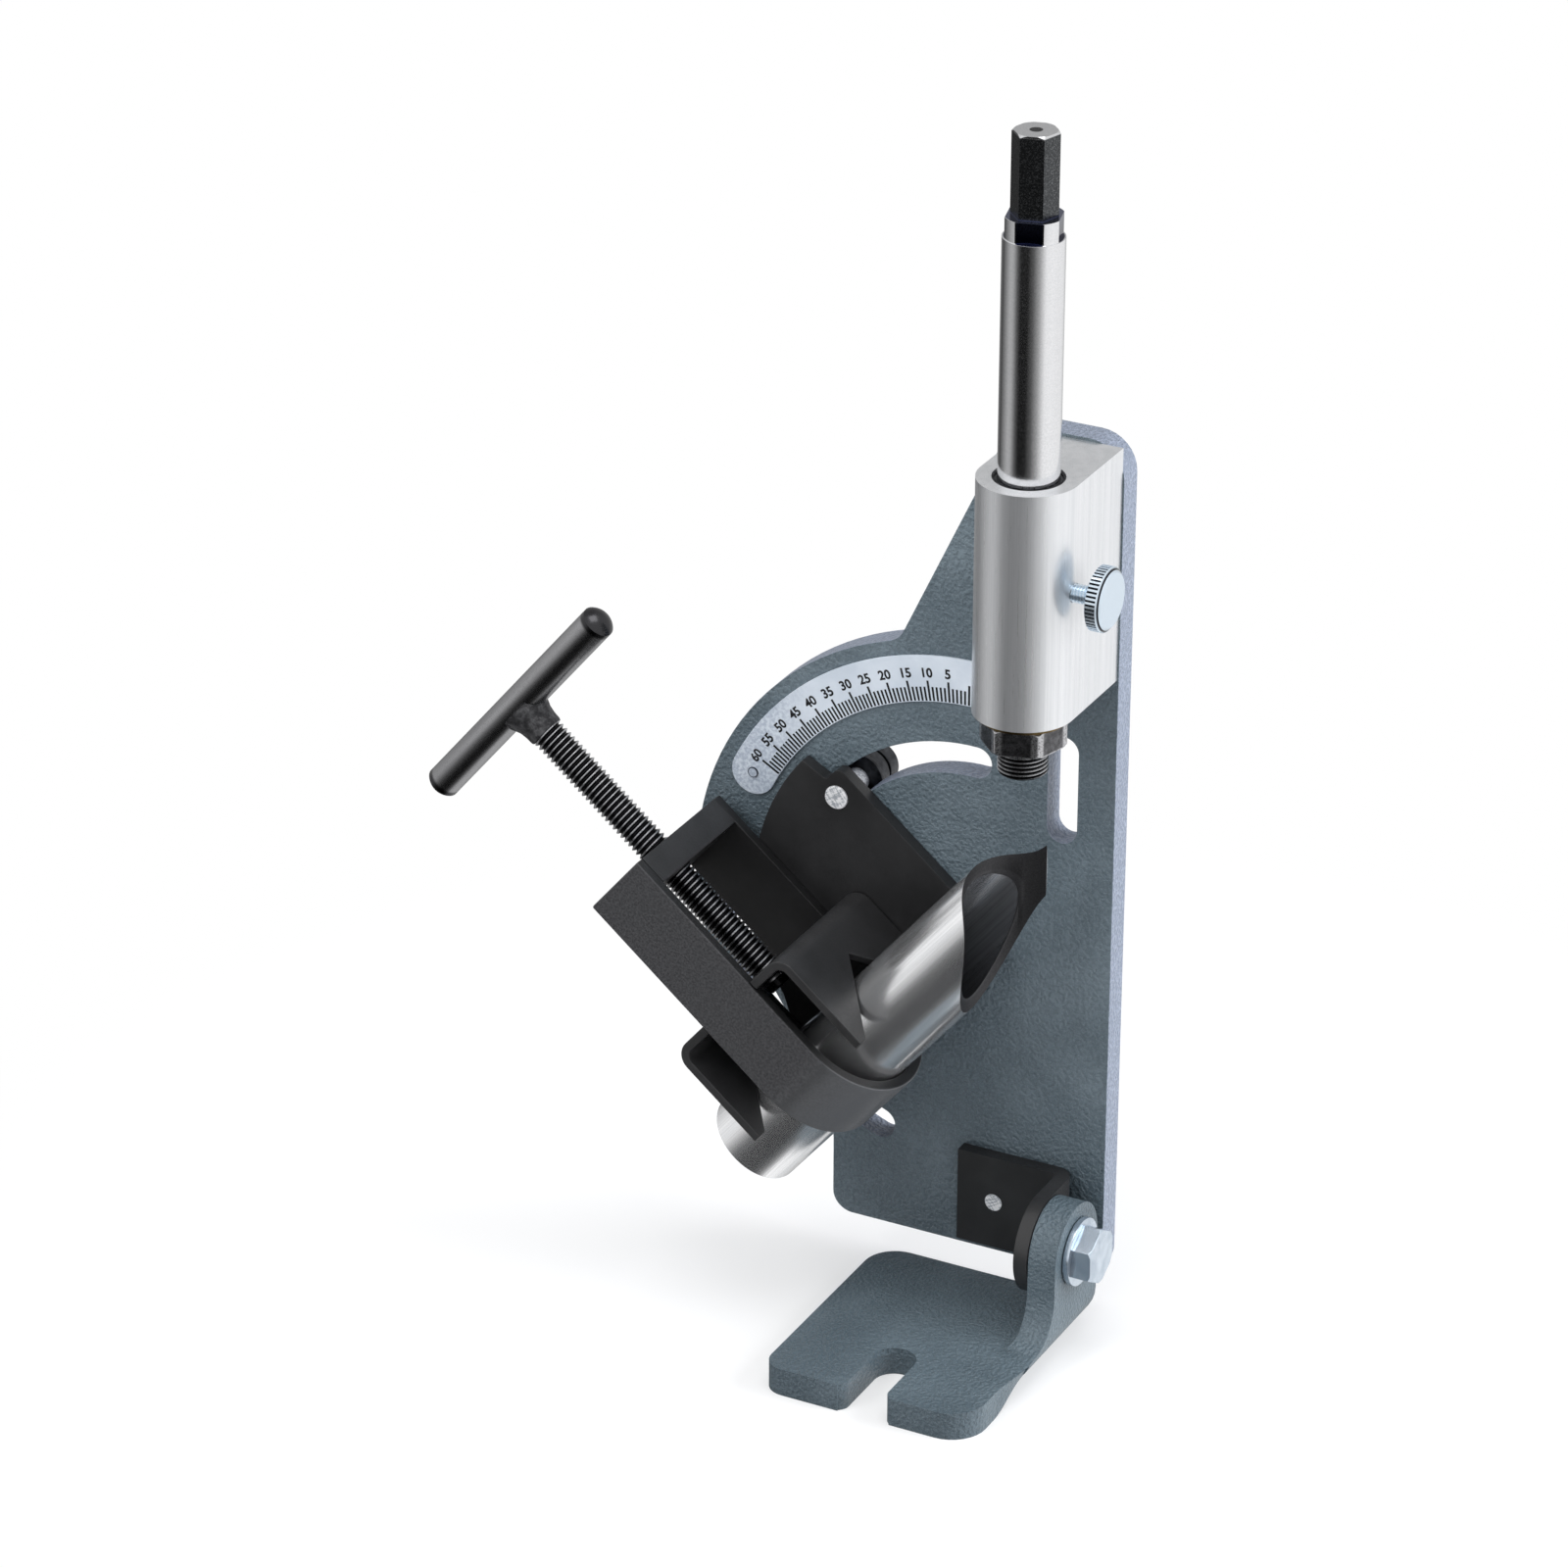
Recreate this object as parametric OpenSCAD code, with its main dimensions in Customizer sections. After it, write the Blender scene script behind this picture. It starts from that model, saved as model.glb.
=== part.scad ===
// Tube notcher: an upright plate on a tilting foot carries a sliding arbor in
// a bearing housing, and a swivelling screw vise that holds a round tube at
// the angle read on a curved scale.
// X runs along the plate, Y points to its back, Z is up. The bench is at Z = 0
// and the foot's tilt bolt lies over Y = 0, in line with X.
// Swivelling pieces are laid out at a reading of zero: tube along X, screw
// along Z, both measured from the swivel pivot.

/* [Main plate] */
// Thickness of the main plate
plate_t = 9.5; // [6:0.5:14]
// Height of the swivel pivot above the bench
pivot_h = 130.5; // [122:0.5:150]
// Reach of the plate above the pivot
plate_up = 174.2; // [174.2:0.1:190]
// Reach of the plate below the pivot
plate_down = 115.8; // [114:0.1:119]
// Reach of the plate to the right of the pivot
plate_right = 50.2; // [50:0.1:60]
// Reach of the plate's lower half to the left of the pivot
plate_left = 46.8; // [40:0.1:60]
// Radius of the round left side, about the pivot
fan_r = 97; // [95:0.5:104]
// Angle from upright at which the neck leaves the round side
neck_angle = 15; // [12:0.5:18]
// Left corner of the neck's top, right of the pivot
neck_x = 12.5; // [8:0.5:16]
// Rounding of the plate's two top corners
top_corner_r = 12; // [4:0.5:14]
// Rounding of the plate's two bottom corners
low_corner_r = 7; // [2:0.5:12]
// Rounding of the inner corners of the outline
inner_corner_r = 8; // [3:0.5:9]
// Width of the upright slot
window_w = 10.4; // [6:0.1:13]
// Length of the upright slot, end to end
window_len = 36.7; // [20:0.1:40]
// Centre of the upright slot, right of the pivot
window_x = 32.2; // [28:0.1:36]
// Centre of the upright slot, above the pivot
window_z = 54.5; // [50:0.1:60]

/* [Swivel] */
// Angle that the vise stands at, read on the scale
reading = 50; // [0:1:60]
// Largest angle on the scale
scale_end = 60; // [60:5:60]
// Gap between the main plate and the swivel plate
swivel_gap = 0.3; // [0.2:0.05:1]
// Thickness of the swivel plate
swivel_t = 4.8; // [3:0.1:6]
// Radius of the swivel plate's curved edge
swivel_r = 73.4; // [70:0.1:75]
// Straight right edge of the swivel plate, from the pivot
swivel_right = 8.5; // [8.5:0.1:12]
// Height of the shoulder beside the pointer
swivel_shoulder = 63.8; // [62:0.1:66]
// Reach of the swivel plate below the pivot
swivel_down = 16; // [12:0.5:18]
// Diameter of the shoulder of the pivot bolt
pivot_d = 12; // [10:0.5:14]
// Diameter of the two clamp studs
stud_d = 8; // [6:0.5:9]
// Radius of the upper clamp stud's path
upper_slot_r = 57.45; // [55:0.05:60]
// Radius of the lower clamp stud's path
lower_slot_r = 84.8; // [83:0.1:87]
// Angle of the lower clamp stud ahead of the pointer
lower_stud_angle = 97; // [90:1:100]
// Width of both curved slots
slot_w = 10.5; // [9.5:0.1:12]
// Diameter of the clamp washers at the back
clamp_washer_d = 18; // [16:0.5:20]
// Diameter of the round clamp nuts at the back
clamp_nut_d = 15; // [12:0.5:16]
// Length of the round clamp nuts
clamp_nut_len = 13; // [8:0.5:16]

/* [Scale plate] */
// Inner radius of the scale plate
scale_in_r = 76.6; // [75.5:0.1:78]
// Outer radius of the scale plate
scale_out_r = 92.1; // [90:0.1:94]
// Thickness of the scale plate
scale_t = 1; // [0.6:0.1:1.5]
// Angle of the left rivet
scale_left_angle = 64; // [64:0.5:66]
// Angle of the right rivet, beyond zero
scale_right_angle = 6; // [5:0.5:8]
// Diameter of the rivet heads
rivet_head_d = 3.6; // [3:0.1:4.5]

/* [Arbor] */
// Diameter of the arbor shaft
shaft_d = 19.05; // [18:0.05:20]
// Length of the full-width shaft
shaft_len = 155.8; // [140:0.1:180]
// Arbor axis, right of the pivot
arbor_x = 33.6; // [33.2:0.1:34]
// Diameter of the saw thread
thread_d = 15.875; // [12.7:0.005:16]
// Length of thread below the nut
thread_len = 9.7; // [6:0.1:16]
// Width across the flats of the lock nut
nut_af = 23.8; // [22:0.1:25.4]
// Height of the lock nut
nut_h = 8.4; // [6:0.1:10]
// Height of the wrench collar
collar_h = 6.7; // [4:0.1:9]
// Width across the wrench flats
collar_af = 16.2; // [15:0.1:18]
// Width across the flats of the hex drive
hex_af = 12.7; // [10:0.1:14]
// Length of the hex drive
hex_len = 26.1; // [18:0.1:34]

/* [Housing] */
// Width of the bearing housing
housing_w = 32; // [31.5:0.1:32]
// Height of the bearing housing
housing_h = 77.2; // [70:0.1:78]
// Bottom of the housing, above the pivot
housing_z = 96; // [95.4:0.1:96.6]
// Outside diameter of the two bushes
bush_d = 22.4; // [21.6:0.1:24]
// Length of each bush
bush_len = 24; // [16:0.5:28]
// Thickness of the thrust washer under the housing
thrust_t = 1.5; // [1:0.1:2]
// Outside diameter of the thrust washer
thrust_d = 28; // [24:0.5:30]
// Diameter of the two screws that hold the housing
housing_screw_d = 8; // [6:0.5:8]
// Height of the thumb screw above the pivot
thumb_z = 138.5; // [125:0.5:145]
// Diameter of the thumb screw's thread
thumb_d = 6; // [5:0.5:6]
// Diameter of the knurled head
thumb_head_d = 20.4; // [16:0.2:26]
// Thickness of the knurled head
thumb_head_t = 5.5; // [4:0.5:8]
// Gap between the housing and the knurled head
thumb_reach = 7; // [5:0.5:14]

/* [Vise] */
// Width of the strap, over both legs
strap_w = 55.4; // [54:0.2:56]
// Thickness of the strap
strap_t = 3.8; // [3:0.1:4.5]
// Width of the strap's flat bar, along the tube
strap_len = 25.4; // [20:0.2:28]
// Vise centre, left of the pivot along the tube
vise_back = 46; // [45:0.5:50]
// Outer face of the end block, from the tube's line through the pivot
vise_top = 84.1; // [83:0.1:88]
// Thickness of the end block
block_t = 10; // [8:0.5:12]
// Diameter of the clamp screw
screw_d = 11.1; // [10:0.1:12]
// Height of the T-handle's bar when the jaw is closed
bar_z = 148; // [146:0.5:152]
// Diameter of the T-handle's bar
bar_d = 11.1; // [10:0.1:12]
// Length of the T-handle's bar, end to end
bar_len = 96; // [80:1:98]
// Wall of the bent V-jaw
jaw_t = 3; // [2:0.1:4]
// Length of the V-jaw along the tube
jaw_len = 58; // [52:0.5:60]
// Height of the V-jaw's flanges
jaw_h = 37.7; // [36:0.1:42]

/* [Tube] */
// Outside diameter of the tube
tube_d = 31.75; // [28:0.05:31.75]
// Wall of the tube
tube_wall = 3; // [1.5:0.1:4]
// Flat end of the tube, left of the pivot along the tube
tube_back = 95; // [80:0.5:95]
// Radius of the cut in the notched end
notch_r = 18; // [17:0.1:18.2]
// Offset of the cut's axis to the front of the tube's axis
notch_offset = 3.2; // [0:0.1:3.2]
// Offset of the cut's axis to the right of the arbor's axis
notch_shift = 2; // [0:0.1:2.4]

/* [Foot] */
// Thickness of the foot and its ear
foot_t = 9.5; // [6:0.1:10]
// Height of the tilt bolt above the bench
tilt_h = 35; // [34:0.5:36]
// Distance from the tilt bolt back to the main plate
plate_y = 19.8; // [19.8:0.1:21]
// Left edge of the foot, from the pivot's line
foot_left = 26; // [20:0.5:40]
// Right edge of the foot's front
foot_right = 47; // [44:0.5:48]
// Reach of the foot in front of the tilt bolt
foot_front = 70.7; // [64:0.1:90]
// Reach of the foot behind the tilt bolt
foot_back = 13.3; // [10:0.1:14]
// Outer face of the ear, right of the pivot
ear_x = 50; // [50:0.1:50.4]
// Radius of the ear's round top
ear_r = 15.9; // [14:0.1:16]
// Inside radius of the ear's bend
bend_r = 4; // [2:0.5:6]
// Width of the foot's bolt slot
foot_slot_w = 14; // [10:0.5:16]
// Middle of the bolt slot, right of the pivot's line
foot_slot_x = 10; // [4:0.5:12]
// Depth of the bolt slot from the foot's front edge
foot_slot_len = 29; // [20:0.5:40]
// Diameter of the tilt bolt
tilt_d = 10; // [8:0.5:10]
// Width across the flats of the tilt bolt's head
tilt_af = 17; // [13:0.5:17]
// Diameter of the washer under the tilt bolt's head
tilt_washer_d = 22.5; // [20:0.5:24]

/* [Angle bracket] */
// Wall of the angle bracket
bracket_t = 4.7; // [3:0.1:5]
// Left edge of the bracket's flange, right of the pivot
bracket_left = 0.5; // [0:0.1:4]
// Height of the bracket
bracket_h = 32.8; // [30:0.2:34]
// Diameter of the two bracket screws
bracket_screw_d = 6; // [5:0.5:6]

/* [Hidden] */
$fn = 96;

// Clearances and small shared sizes
running = 0.05;        // radial clearance of a shaft in its bearing
seat = 0.02;           // radial clearance of a fixed piece in its seat
apart = 0.3;           // gap between pieces that move past each other
over = 1;              // how far a cut runs past the solid that it cuts
chamfer = 0.8;         // bevel on the ends of turned pieces
corner_steps = 8;      // facets on a rounded corner of an outline
arc_step = 3;          // degrees between points of a long arc
pivot_z = pivot_h;

// Swivel: the vise's middle plane sets how far the arbor stands off the plate
axis_out = swivel_gap + swivel_t + strap_w / 2;
strap_in = strap_w / 2 - strap_t;
tube_r = tube_d / 2;
// Centre of the strap's round end, and of the tube that rests in it
strap_c = 3.3;
tube_w = strap_c - strap_in + apart + tube_r;
slot_lead = 2.5;       // degrees that each curved slot runs past its stud's travel
pointer_rise = 1.8;    // width of the pointer's root beside its edge
pointer_r = 1.5;       // rounding at the pointer's root
shoulder_r = 2.5;      // rounding of the shoulder beside the pointer
lobe_r = 9;            // radius of the lobe round the lower stud
stud_proud = 0.5;      // how far a stud's end stands out of the swivel plate
nut_groove = 1;        // width and depth of the groove round a clamp nut
clamp_washer_t = 1.6;
pivot_head_d = 20;
pivot_head_h = 6;
pivot_end_d = 10;
pivot_nut_af = 16;
pivot_nut_h = 5;
pivot_washer_t = 1.5;
pivot_washer_d = 24;

// Arbor, from the housing downwards and upwards
housing_base = pivot_z + housing_z;
nut_top = housing_base - apart - thrust_t - apart;
thread_end = nut_top - nut_h - thread_len;
collar_z = nut_top + shaft_len;
hex_z = collar_z + collar_h;
collar_neck = 0.6;     // how much slimmer the collar is than the shaft
thread_step = 0.6;     // depth of the thread that is hidden inside the lock nut
nut_core_d = thread_d - 2 * thread_step;
flat_turn = 15;        // turn of the flats, the hex drive and the lock nut about the arbor
centre_d = 4;          // width of the centre hole in the hex drive's end
bush_ledge = 0.8;      // width of the ledge that each bush stops on
relief_d = bush_d - 2 * bush_ledge;
bush_inset = 0.8;      // how far a bush lies inside the housing's end
lip_w = 0.5;           // width and depth of the groove in a bush's end
housing_nose = housing_w / 2;
screw_grip = 14;       // depth of thread in the housing and the bracket
housing_screw_in = 18; // height of each housing screw from the housing's end
head_share = 1.6;      // head diameter of a cap screw, as a share of its shank
thumb_x = arbor_x + housing_nose;
pad_gap = 0.6;         // free gap between the lock pad and the shaft
pad_t = 1.5;
pad_slack = 0.2;       // radial clearance of the lock pad in its hole
knurls = 48;
knurl_depth = 0.5;
rivet_d = 2.4;
rivet_len = 5;
rivet_head_t = 0.5;

// Vise
screw_neck_d = 8;      // turned-down end of the clamp screw
clip_d = 14;
clip_t = 1;
clip_core = 6.4;       // diameter of the screw's end inside its groove
clip_mouth = 5;        // width of the clip's open side
neck_len = 7.5;
jaw_inset = 0.5;       // how far the jaw's ends lie inside the strap's legs
jaw_w = strap_w - 2 * jaw_inset;
jaw_bend = 6;          // outside radius of the jaw's bends
weld_h = 7;
bar_dome = 3;          // height of the domed ends of the T-handle's bar
weld_low_share = 1.08; // the weld's lower and upper diameters, as shares of the screw's
weld_top_share = 1.45;
// The jaw's notch is square-cornered and seats on the tube
jaw_apex = tube_w + (tube_r + apart) * sqrt(2);
jaw_reach = 0.6;       // how far the jaw's flanges pass the tube's axis
jaw_tip = tube_w - jaw_reach;
jaw_top = jaw_tip + jaw_h;

// Foot and bracket
ear_in = ear_x - foot_t;
bracket_ear_x = ear_in - apart;
flare_r = 16;          // hollow rounding where the ear rises out of the foot
foot_back_corner = 11;
foot_front_corner = 7;
foot_right_corner = 12;
slot_mouth_r = 4;
tilt_washer_t = 2;
tilt_head_h = 6.4;
bracket_z = tilt_h;
bracket_bend = 6;      // outside radius of the bracket's bend
bracket_screw_near = 13.4;
bracket_screw_far = 29.5;
bolt_proud = 0.8;      // how far the tilt bolt's end stands out of the bracket

// Outline helpers: points are [x, y, corner radius]
function unit(v) = v / norm(v);
function short_turn(a) = a > 180 ? a - 360 : a < -180 ? a + 360 : a;
function rounded(pts) = [
    for (i = [0 : len(pts) - 1])
        let (n = len(pts),
             p = [pts[i][0], pts[i][1]],
             r = pts[i][2],
             before = pts[(i + n - 1) % n],
             after = pts[(i + 1) % n],
             u = unit([before[0], before[1]] - p),
             v = unit([after[0], after[1]] - p))
        each r == 0 ? [p] : corner_arc(p, u, v, r)
];
function corner_arc(p, u, v, r) =
    let (half = acos(u * v) / 2,
         centre = p + unit(u + v) * r / sin(half),
         s = p + u * r / tan(half) - centre,
         e = p + v * r / tan(half) - centre,
         a0 = atan2(s[1], s[0]),
         turn = short_turn(atan2(e[1], e[0]) - a0))
    [for (k = [0 : corner_steps])
        centre + r * [cos(a0 + turn * k / corner_steps), sin(a0 + turn * k / corner_steps)]];
// A place at an angle left of upright, on a circle about the pivot
function at_angle(r, a) = [-r * sin(a), r * cos(a)];

// Places: the pivot on the plate's front face, the swung plate, the vise's middle
module at_pivot() translate([0, plate_y, pivot_z]) children();
module at_swivel() at_pivot() rotate([0, -reading, 0]) children();
module at_vise() at_swivel() translate([-vise_back, -axis_out, 0]) children();

// An outline in X and Z, thick towards the front from the given Y
module slab(back, thick)
    translate([0, back, 0]) rotate([90, 0, 0]) linear_extrude(thick) children();
// An outline in Y and Z, long to the right from the given X
module strip(left, long)
    translate([left, 0, 0]) rotate([90, 0, 90]) linear_extrude(long) children();
module rod_x(d, x0, x1) translate([x0, 0, 0]) rotate([0, 90, 0]) cylinder(d = d, h = x1 - x0);
module rod_y(d, y0, y1) translate([0, y1, 0]) rotate([90, 0, 0]) cylinder(d = d, h = y1 - y0);
module rod_z(d, z0, z1) translate([0, 0, z0]) cylinder(d = d, h = z1 - z0);
// A rod along Z with both ends bevelled
module turned_z(d, z0, z1, bevel) {
    rod_z(d, z0 + bevel, z1 - bevel);
    translate([0, 0, z0]) cylinder(d1 = d - 2 * bevel, d2 = d, h = bevel);
    translate([0, 0, z1 - bevel]) cylinder(d1 = d, d2 = d - 2 * bevel, h = bevel);
}
module hex_z(af, z0, z1)
    translate([0, 0, z0]) cylinder(d = af / cos(30), h = z1 - z0, $fn = 6);
module hex_y(af, y0, y1)
    translate([0, y1, 0]) rotate([90, 0, 0]) cylinder(d = af / cos(30), h = y1 - y0, $fn = 6);

// The points of a slot's round end, a half turn from the given direction
function slot_end(centre, r, start) = [
    for (k = [0 : 2 * corner_steps])
        let (a = start + 180 * k / (2 * corner_steps)) centre + r * [cos(a), sin(a)]];
// A curved slot about the pivot, between two angles left of upright
module curved_slot(r, width, from, to) {
    steps = ceil((to - from) / arc_step);
    edge = [for (k = [0 : steps]) from + (to - from) * k / steps];
    polygon([
        for (k = [1 : steps - 1]) at_angle(r + width / 2, edge[k]),
        each slot_end(at_angle(r, to), width / 2, 90 + to),
        for (k = [steps - 1 : -1 : 1]) at_angle(r - width / 2, edge[k]),
        each slot_end(at_angle(r, from), width / 2, from - 90)
    ]);
}

module plate_outline() {
    low_angle = 180 - asin(plate_left / fan_r);
    steps = ceil((low_angle - neck_angle) / arc_step);
    polygon(rounded([
        [-plate_left, -plate_down, low_corner_r],
        [-plate_left, fan_r * cos(low_angle), inner_corner_r],
        for (k = [1 : steps - 1])
            let (p = at_angle(fan_r, low_angle + (neck_angle - low_angle) * k / steps))
            [p[0], p[1], 0],
        let (p = at_angle(fan_r, neck_angle)) [p[0], p[1], inner_corner_r],
        [neck_x, plate_up, top_corner_r],
        [plate_right, plate_up, top_corner_r],
        [plate_right, -plate_down, low_corner_r]
    ]));
}

module main_plate() color([0.36, 0.41, 0.45]) difference() {
    at_pivot() slab(plate_t, plate_t) difference() {
        plate_outline();
        circle(d = pivot_d + 2 * running);
        curved_slot(upper_slot_r, slot_w, -slot_lead, scale_end + slot_lead);
        curved_slot(lower_slot_r, slot_w, lower_stud_angle - slot_lead * 2,
                    lower_stud_angle + scale_end + slot_lead);
        let (half = window_len / 2 - window_w / 2) polygon([
            each slot_end([window_x, window_z + half], window_w / 2, 0),
            each slot_end([window_x, window_z - half], window_w / 2, 180)
        ]);
        for (z = housing_screw_rows()) translate([arbor_x, z]) circle(d = housing_screw_d + 2 * seat);
    }
    for (x = [bracket_screw_near, bracket_screw_far])
        translate([x, plate_y, bracket_z]) rod_y(bracket_screw_d + 2 * seat, -over, plate_t + over);
    for (a = rivet_angles()) at_pivot() translate(rivet_place(a)) rod_y(rivet_d + 2 * seat, -over, rivet_len);
}

function housing_screw_rows() =
    [housing_z + housing_screw_in, housing_z + housing_h - housing_screw_in];
function rivet_angles() = [scale_left_angle, -scale_right_angle];
function scale_mid_r() = (scale_in_r + scale_out_r) / 2;
function rivet_place(a) = let (p = at_angle(scale_mid_r(), a)) [p[0], 0, p[1]];

module scale_plate() color([0.80, 0.84, 0.89]) difference() {
    at_pivot() slab(0, scale_t)
        curved_slot(scale_mid_r(), scale_out_r - scale_in_r, -scale_right_angle, scale_left_angle);
    for (a = rivet_angles()) at_pivot() translate(rivet_place(a))
        rod_y(rivet_d + 2 * seat, -scale_t - over, over);
}

module scale_rivets() color([0.78, 0.79, 0.82])
    for (a = rivet_angles()) at_pivot() translate(rivet_place(a)) {
        rod_y(rivet_d, -scale_t, rivet_len - over);
        rod_y(rivet_head_d, -scale_t - rivet_head_t, -scale_t);
    }

module at_arbor() translate([arbor_x, plate_y - axis_out, 0]) children();

module arbor_housing() color([0.80, 0.81, 0.83]) difference() {
    at_arbor() translate([0, 0, housing_base]) linear_extrude(housing_h) {
        circle(d = housing_w);
        translate([-housing_nose, 0]) square([housing_w, axis_out]);
    }
    at_arbor() {
        rod_z(relief_d, housing_base - over, housing_base + housing_h + over);
        rod_z(bush_d + 2 * seat, housing_base - over, housing_base + bush_inset + bush_len);
        rod_z(bush_d + 2 * seat, housing_base + housing_h - bush_inset - bush_len,
              housing_base + housing_h + over);
        translate([0, 0, pivot_z + thumb_z]) rod_x(thumb_d + 2 * running, 0, housing_nose + over);
    }
    for (z = housing_screw_rows()) translate([arbor_x, plate_y, pivot_z + z])
        rod_y(housing_screw_d + 2 * seat, -screw_grip, over);
}

module housing_screws() color([0.10, 0.10, 0.11])
    for (z = housing_screw_rows()) translate([arbor_x, plate_y, pivot_z + z]) difference() {
        union() {
            rod_y(housing_screw_d, over - screw_grip, plate_t);
            rod_y(housing_screw_d * head_share, plate_t, plate_t + housing_screw_d);
        }
        hex_y(housing_screw_d * head_share / 2, plate_t + housing_screw_d / 2,
              plate_t + housing_screw_d + over);
    }

// One bush: a plain ring with a groove in the end that shows
module bush(z0, z1, groove_z) difference() {
    rod_z(bush_d, z0, z1);
    rod_z(shaft_d + 2 * running, z0 - over, z1 + over);
    translate([0, 0, groove_z - lip_w]) difference() {
        cylinder(d = bush_d - 2 * lip_w, h = 2 * lip_w);
        cylinder(d = bush_d - 4 * lip_w, h = 2 * lip_w);
    }
}

module upper_bush() color([0.20, 0.20, 0.21]) at_arbor()
    bush(housing_base + housing_h - bush_inset - bush_len, housing_base + housing_h - bush_inset,
         housing_base + housing_h - bush_inset);
module lower_bush() color([0.20, 0.20, 0.21]) at_arbor()
    bush(housing_base + bush_inset, housing_base + bush_inset + bush_len, housing_base + bush_inset);

module thrust_washer() color([0.55, 0.47, 0.30]) at_arbor() difference() {
    rod_z(thrust_d, nut_top + apart, nut_top + apart + thrust_t);
    rod_z(shaft_d + 2 * running, nut_top, nut_top + 2 * apart + thrust_t);
}

module arbor_shaft() color([0.70, 0.71, 0.73]) at_arbor() difference() {
    union() {
        translate([0, 0, thread_end]) cylinder(d1 = thread_d - 2 * chamfer, d2 = thread_d, h = chamfer);
        rod_z(thread_d, thread_end + chamfer, nut_top - nut_h);
        rod_z(nut_core_d, nut_top - nut_h - over, nut_top + over);
        rod_z(shaft_d, nut_top, collar_z);
        rotate([0, 0, flat_turn]) intersection() {
            rod_z(shaft_d - collar_neck, collar_z - over, hex_z);
            translate([-collar_af / 2, -collar_af / 2, collar_z - over])
                cube([collar_af, collar_af, collar_h + over]);
        }
        rotate([0, 0, flat_turn]) intersection() {
            hex_z(hex_af, hex_z - over, hex_z + hex_len);
            turned_z(hex_af / cos(30), collar_z, hex_z + hex_len, chamfer);
        }
    }
    translate([0, 0, hex_z + hex_len - centre_d / 2])
        cylinder(d1 = 0, d2 = centre_d, h = centre_d / 2);
}

module arbor_nut() color([0.16, 0.16, 0.17]) at_arbor() difference() {
    rotate([0, 0, flat_turn]) intersection() {
        hex_z(nut_af, nut_top - nut_h, nut_top);
        turned_z(nut_af / cos(30) - chamfer / 2, nut_top - nut_h, nut_top, chamfer);
    }
    rod_z(nut_core_d + 2 * seat, nut_top - nut_h - over, nut_top + over);
}

// The thumb screw's axis, pointing right out of the housing at the arbor's centre line
module at_thumb() at_arbor() translate([0, 0, pivot_z + thumb_z]) children();

function pad_x() = shaft_d / 2 + pad_gap;

module lock_pad() color([0.72, 0.56, 0.25]) at_thumb()
    rod_x(thumb_d - 2 * pad_slack, pad_x(), pad_x() + pad_t);

module thumb_screw() color([0.80, 0.82, 0.86]) at_thumb() {
    tip = pad_x() + pad_t + apart;
    head = housing_nose + thumb_reach;
    rod_x(thumb_d, tip, head);
    translate([head, 0, 0]) rotate([0, 90, 0]) linear_extrude(thumb_head_t)
        polygon([for (k = [0 : 2 * knurls - 1])
            let (r = thumb_head_d / 2 - (k % 2) * knurl_depth)
            r * [cos(180 * k / knurls), sin(180 * k / knurls)]]);
}

// The swivel plate's outline at a reading of zero
module swivel_outline() {
    lobe = at_angle(lower_slot_r, lower_stud_angle);
    low_angle = asin(min(1, (lower_slot_r - lobe_r) / lower_slot_r)) + corner_steps;
    steps = ceil(low_angle / arc_step);
    polygon(rounded([
        [swivel_right, -swivel_down, swivel_down / 2],
        [swivel_right, swivel_shoulder, shoulder_r],
        [pointer_rise, swivel_shoulder, pointer_r],
        [0, swivel_r, 0],
        for (k = [1 : steps])
            let (p = at_angle(swivel_r, low_angle * k / steps)) [p[0], p[1], 0],
        [lobe[0], lobe[1] + lobe_r, 0],
        [lobe[0], lobe[1] - lobe_r, 0]
    ]));
    translate(lobe) circle(r = lobe_r);
}

module swivel_plate() color([0.13, 0.13, 0.14]) at_swivel()
    slab(-swivel_gap, swivel_t) difference() {
        swivel_outline();
        circle(d = pivot_end_d + 2 * seat);
        for (p = stud_places()) translate(p) circle(d = stud_d + 2 * seat);
    }

function stud_places() = [at_angle(upper_slot_r, 0), at_angle(lower_slot_r, lower_stud_angle)];
module at_studs() for (p = stud_places()) at_swivel() translate([p[0], 0, p[1]]) children();
swivel_front = -swivel_gap - swivel_t;

module clamp_studs() color([0.80, 0.82, 0.86]) at_studs()
    rod_y(stud_d, swivel_front - stud_proud, plate_t + apart + clamp_washer_t + clamp_nut_len + over);

module clamp_washers() color([0.16, 0.16, 0.18]) at_studs() difference() {
    rod_y(clamp_washer_d, plate_t + apart, plate_t + apart + clamp_washer_t);
    rod_y(stud_d + 2 * seat, plate_t, plate_t + apart + clamp_washer_t + over);
}

module clamp_nuts() color([0.10, 0.10, 0.12]) at_studs() {
    front = plate_t + apart + clamp_washer_t;
    difference() {
        rod_y(clamp_nut_d, front, front + clamp_nut_len);
        rod_y(stud_d + 2 * seat, front - over, front + clamp_nut_len + over);
        translate([0, front + clamp_nut_len / 2, 0]) difference() {
            rod_y(clamp_nut_d + over, 0, nut_groove);
            rod_y(clamp_nut_d - 2 * nut_groove, -over, nut_groove + over);
        }
    }
}

module pivot_bolt() color([0.15, 0.15, 0.16]) at_swivel() {
    head = plate_t + apart + pivot_washer_t;
    rod_y(pivot_end_d, swivel_front - pivot_nut_h, -swivel_gap);
    rod_y(pivot_d, -swivel_gap, head);
    difference() {
        rod_y(pivot_head_d, head, head + pivot_head_h);
        hex_y(pivot_head_d / 2, head + pivot_head_h / 2, head + pivot_head_h + over);
    }
}

module pivot_nut() color([0.15, 0.15, 0.16]) at_swivel() difference() {
    hex_y(pivot_nut_af, swivel_front - pivot_nut_h, swivel_front);
    rod_y(pivot_end_d + 2 * seat, swivel_front - pivot_nut_h - over, swivel_front + over);
}

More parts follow.
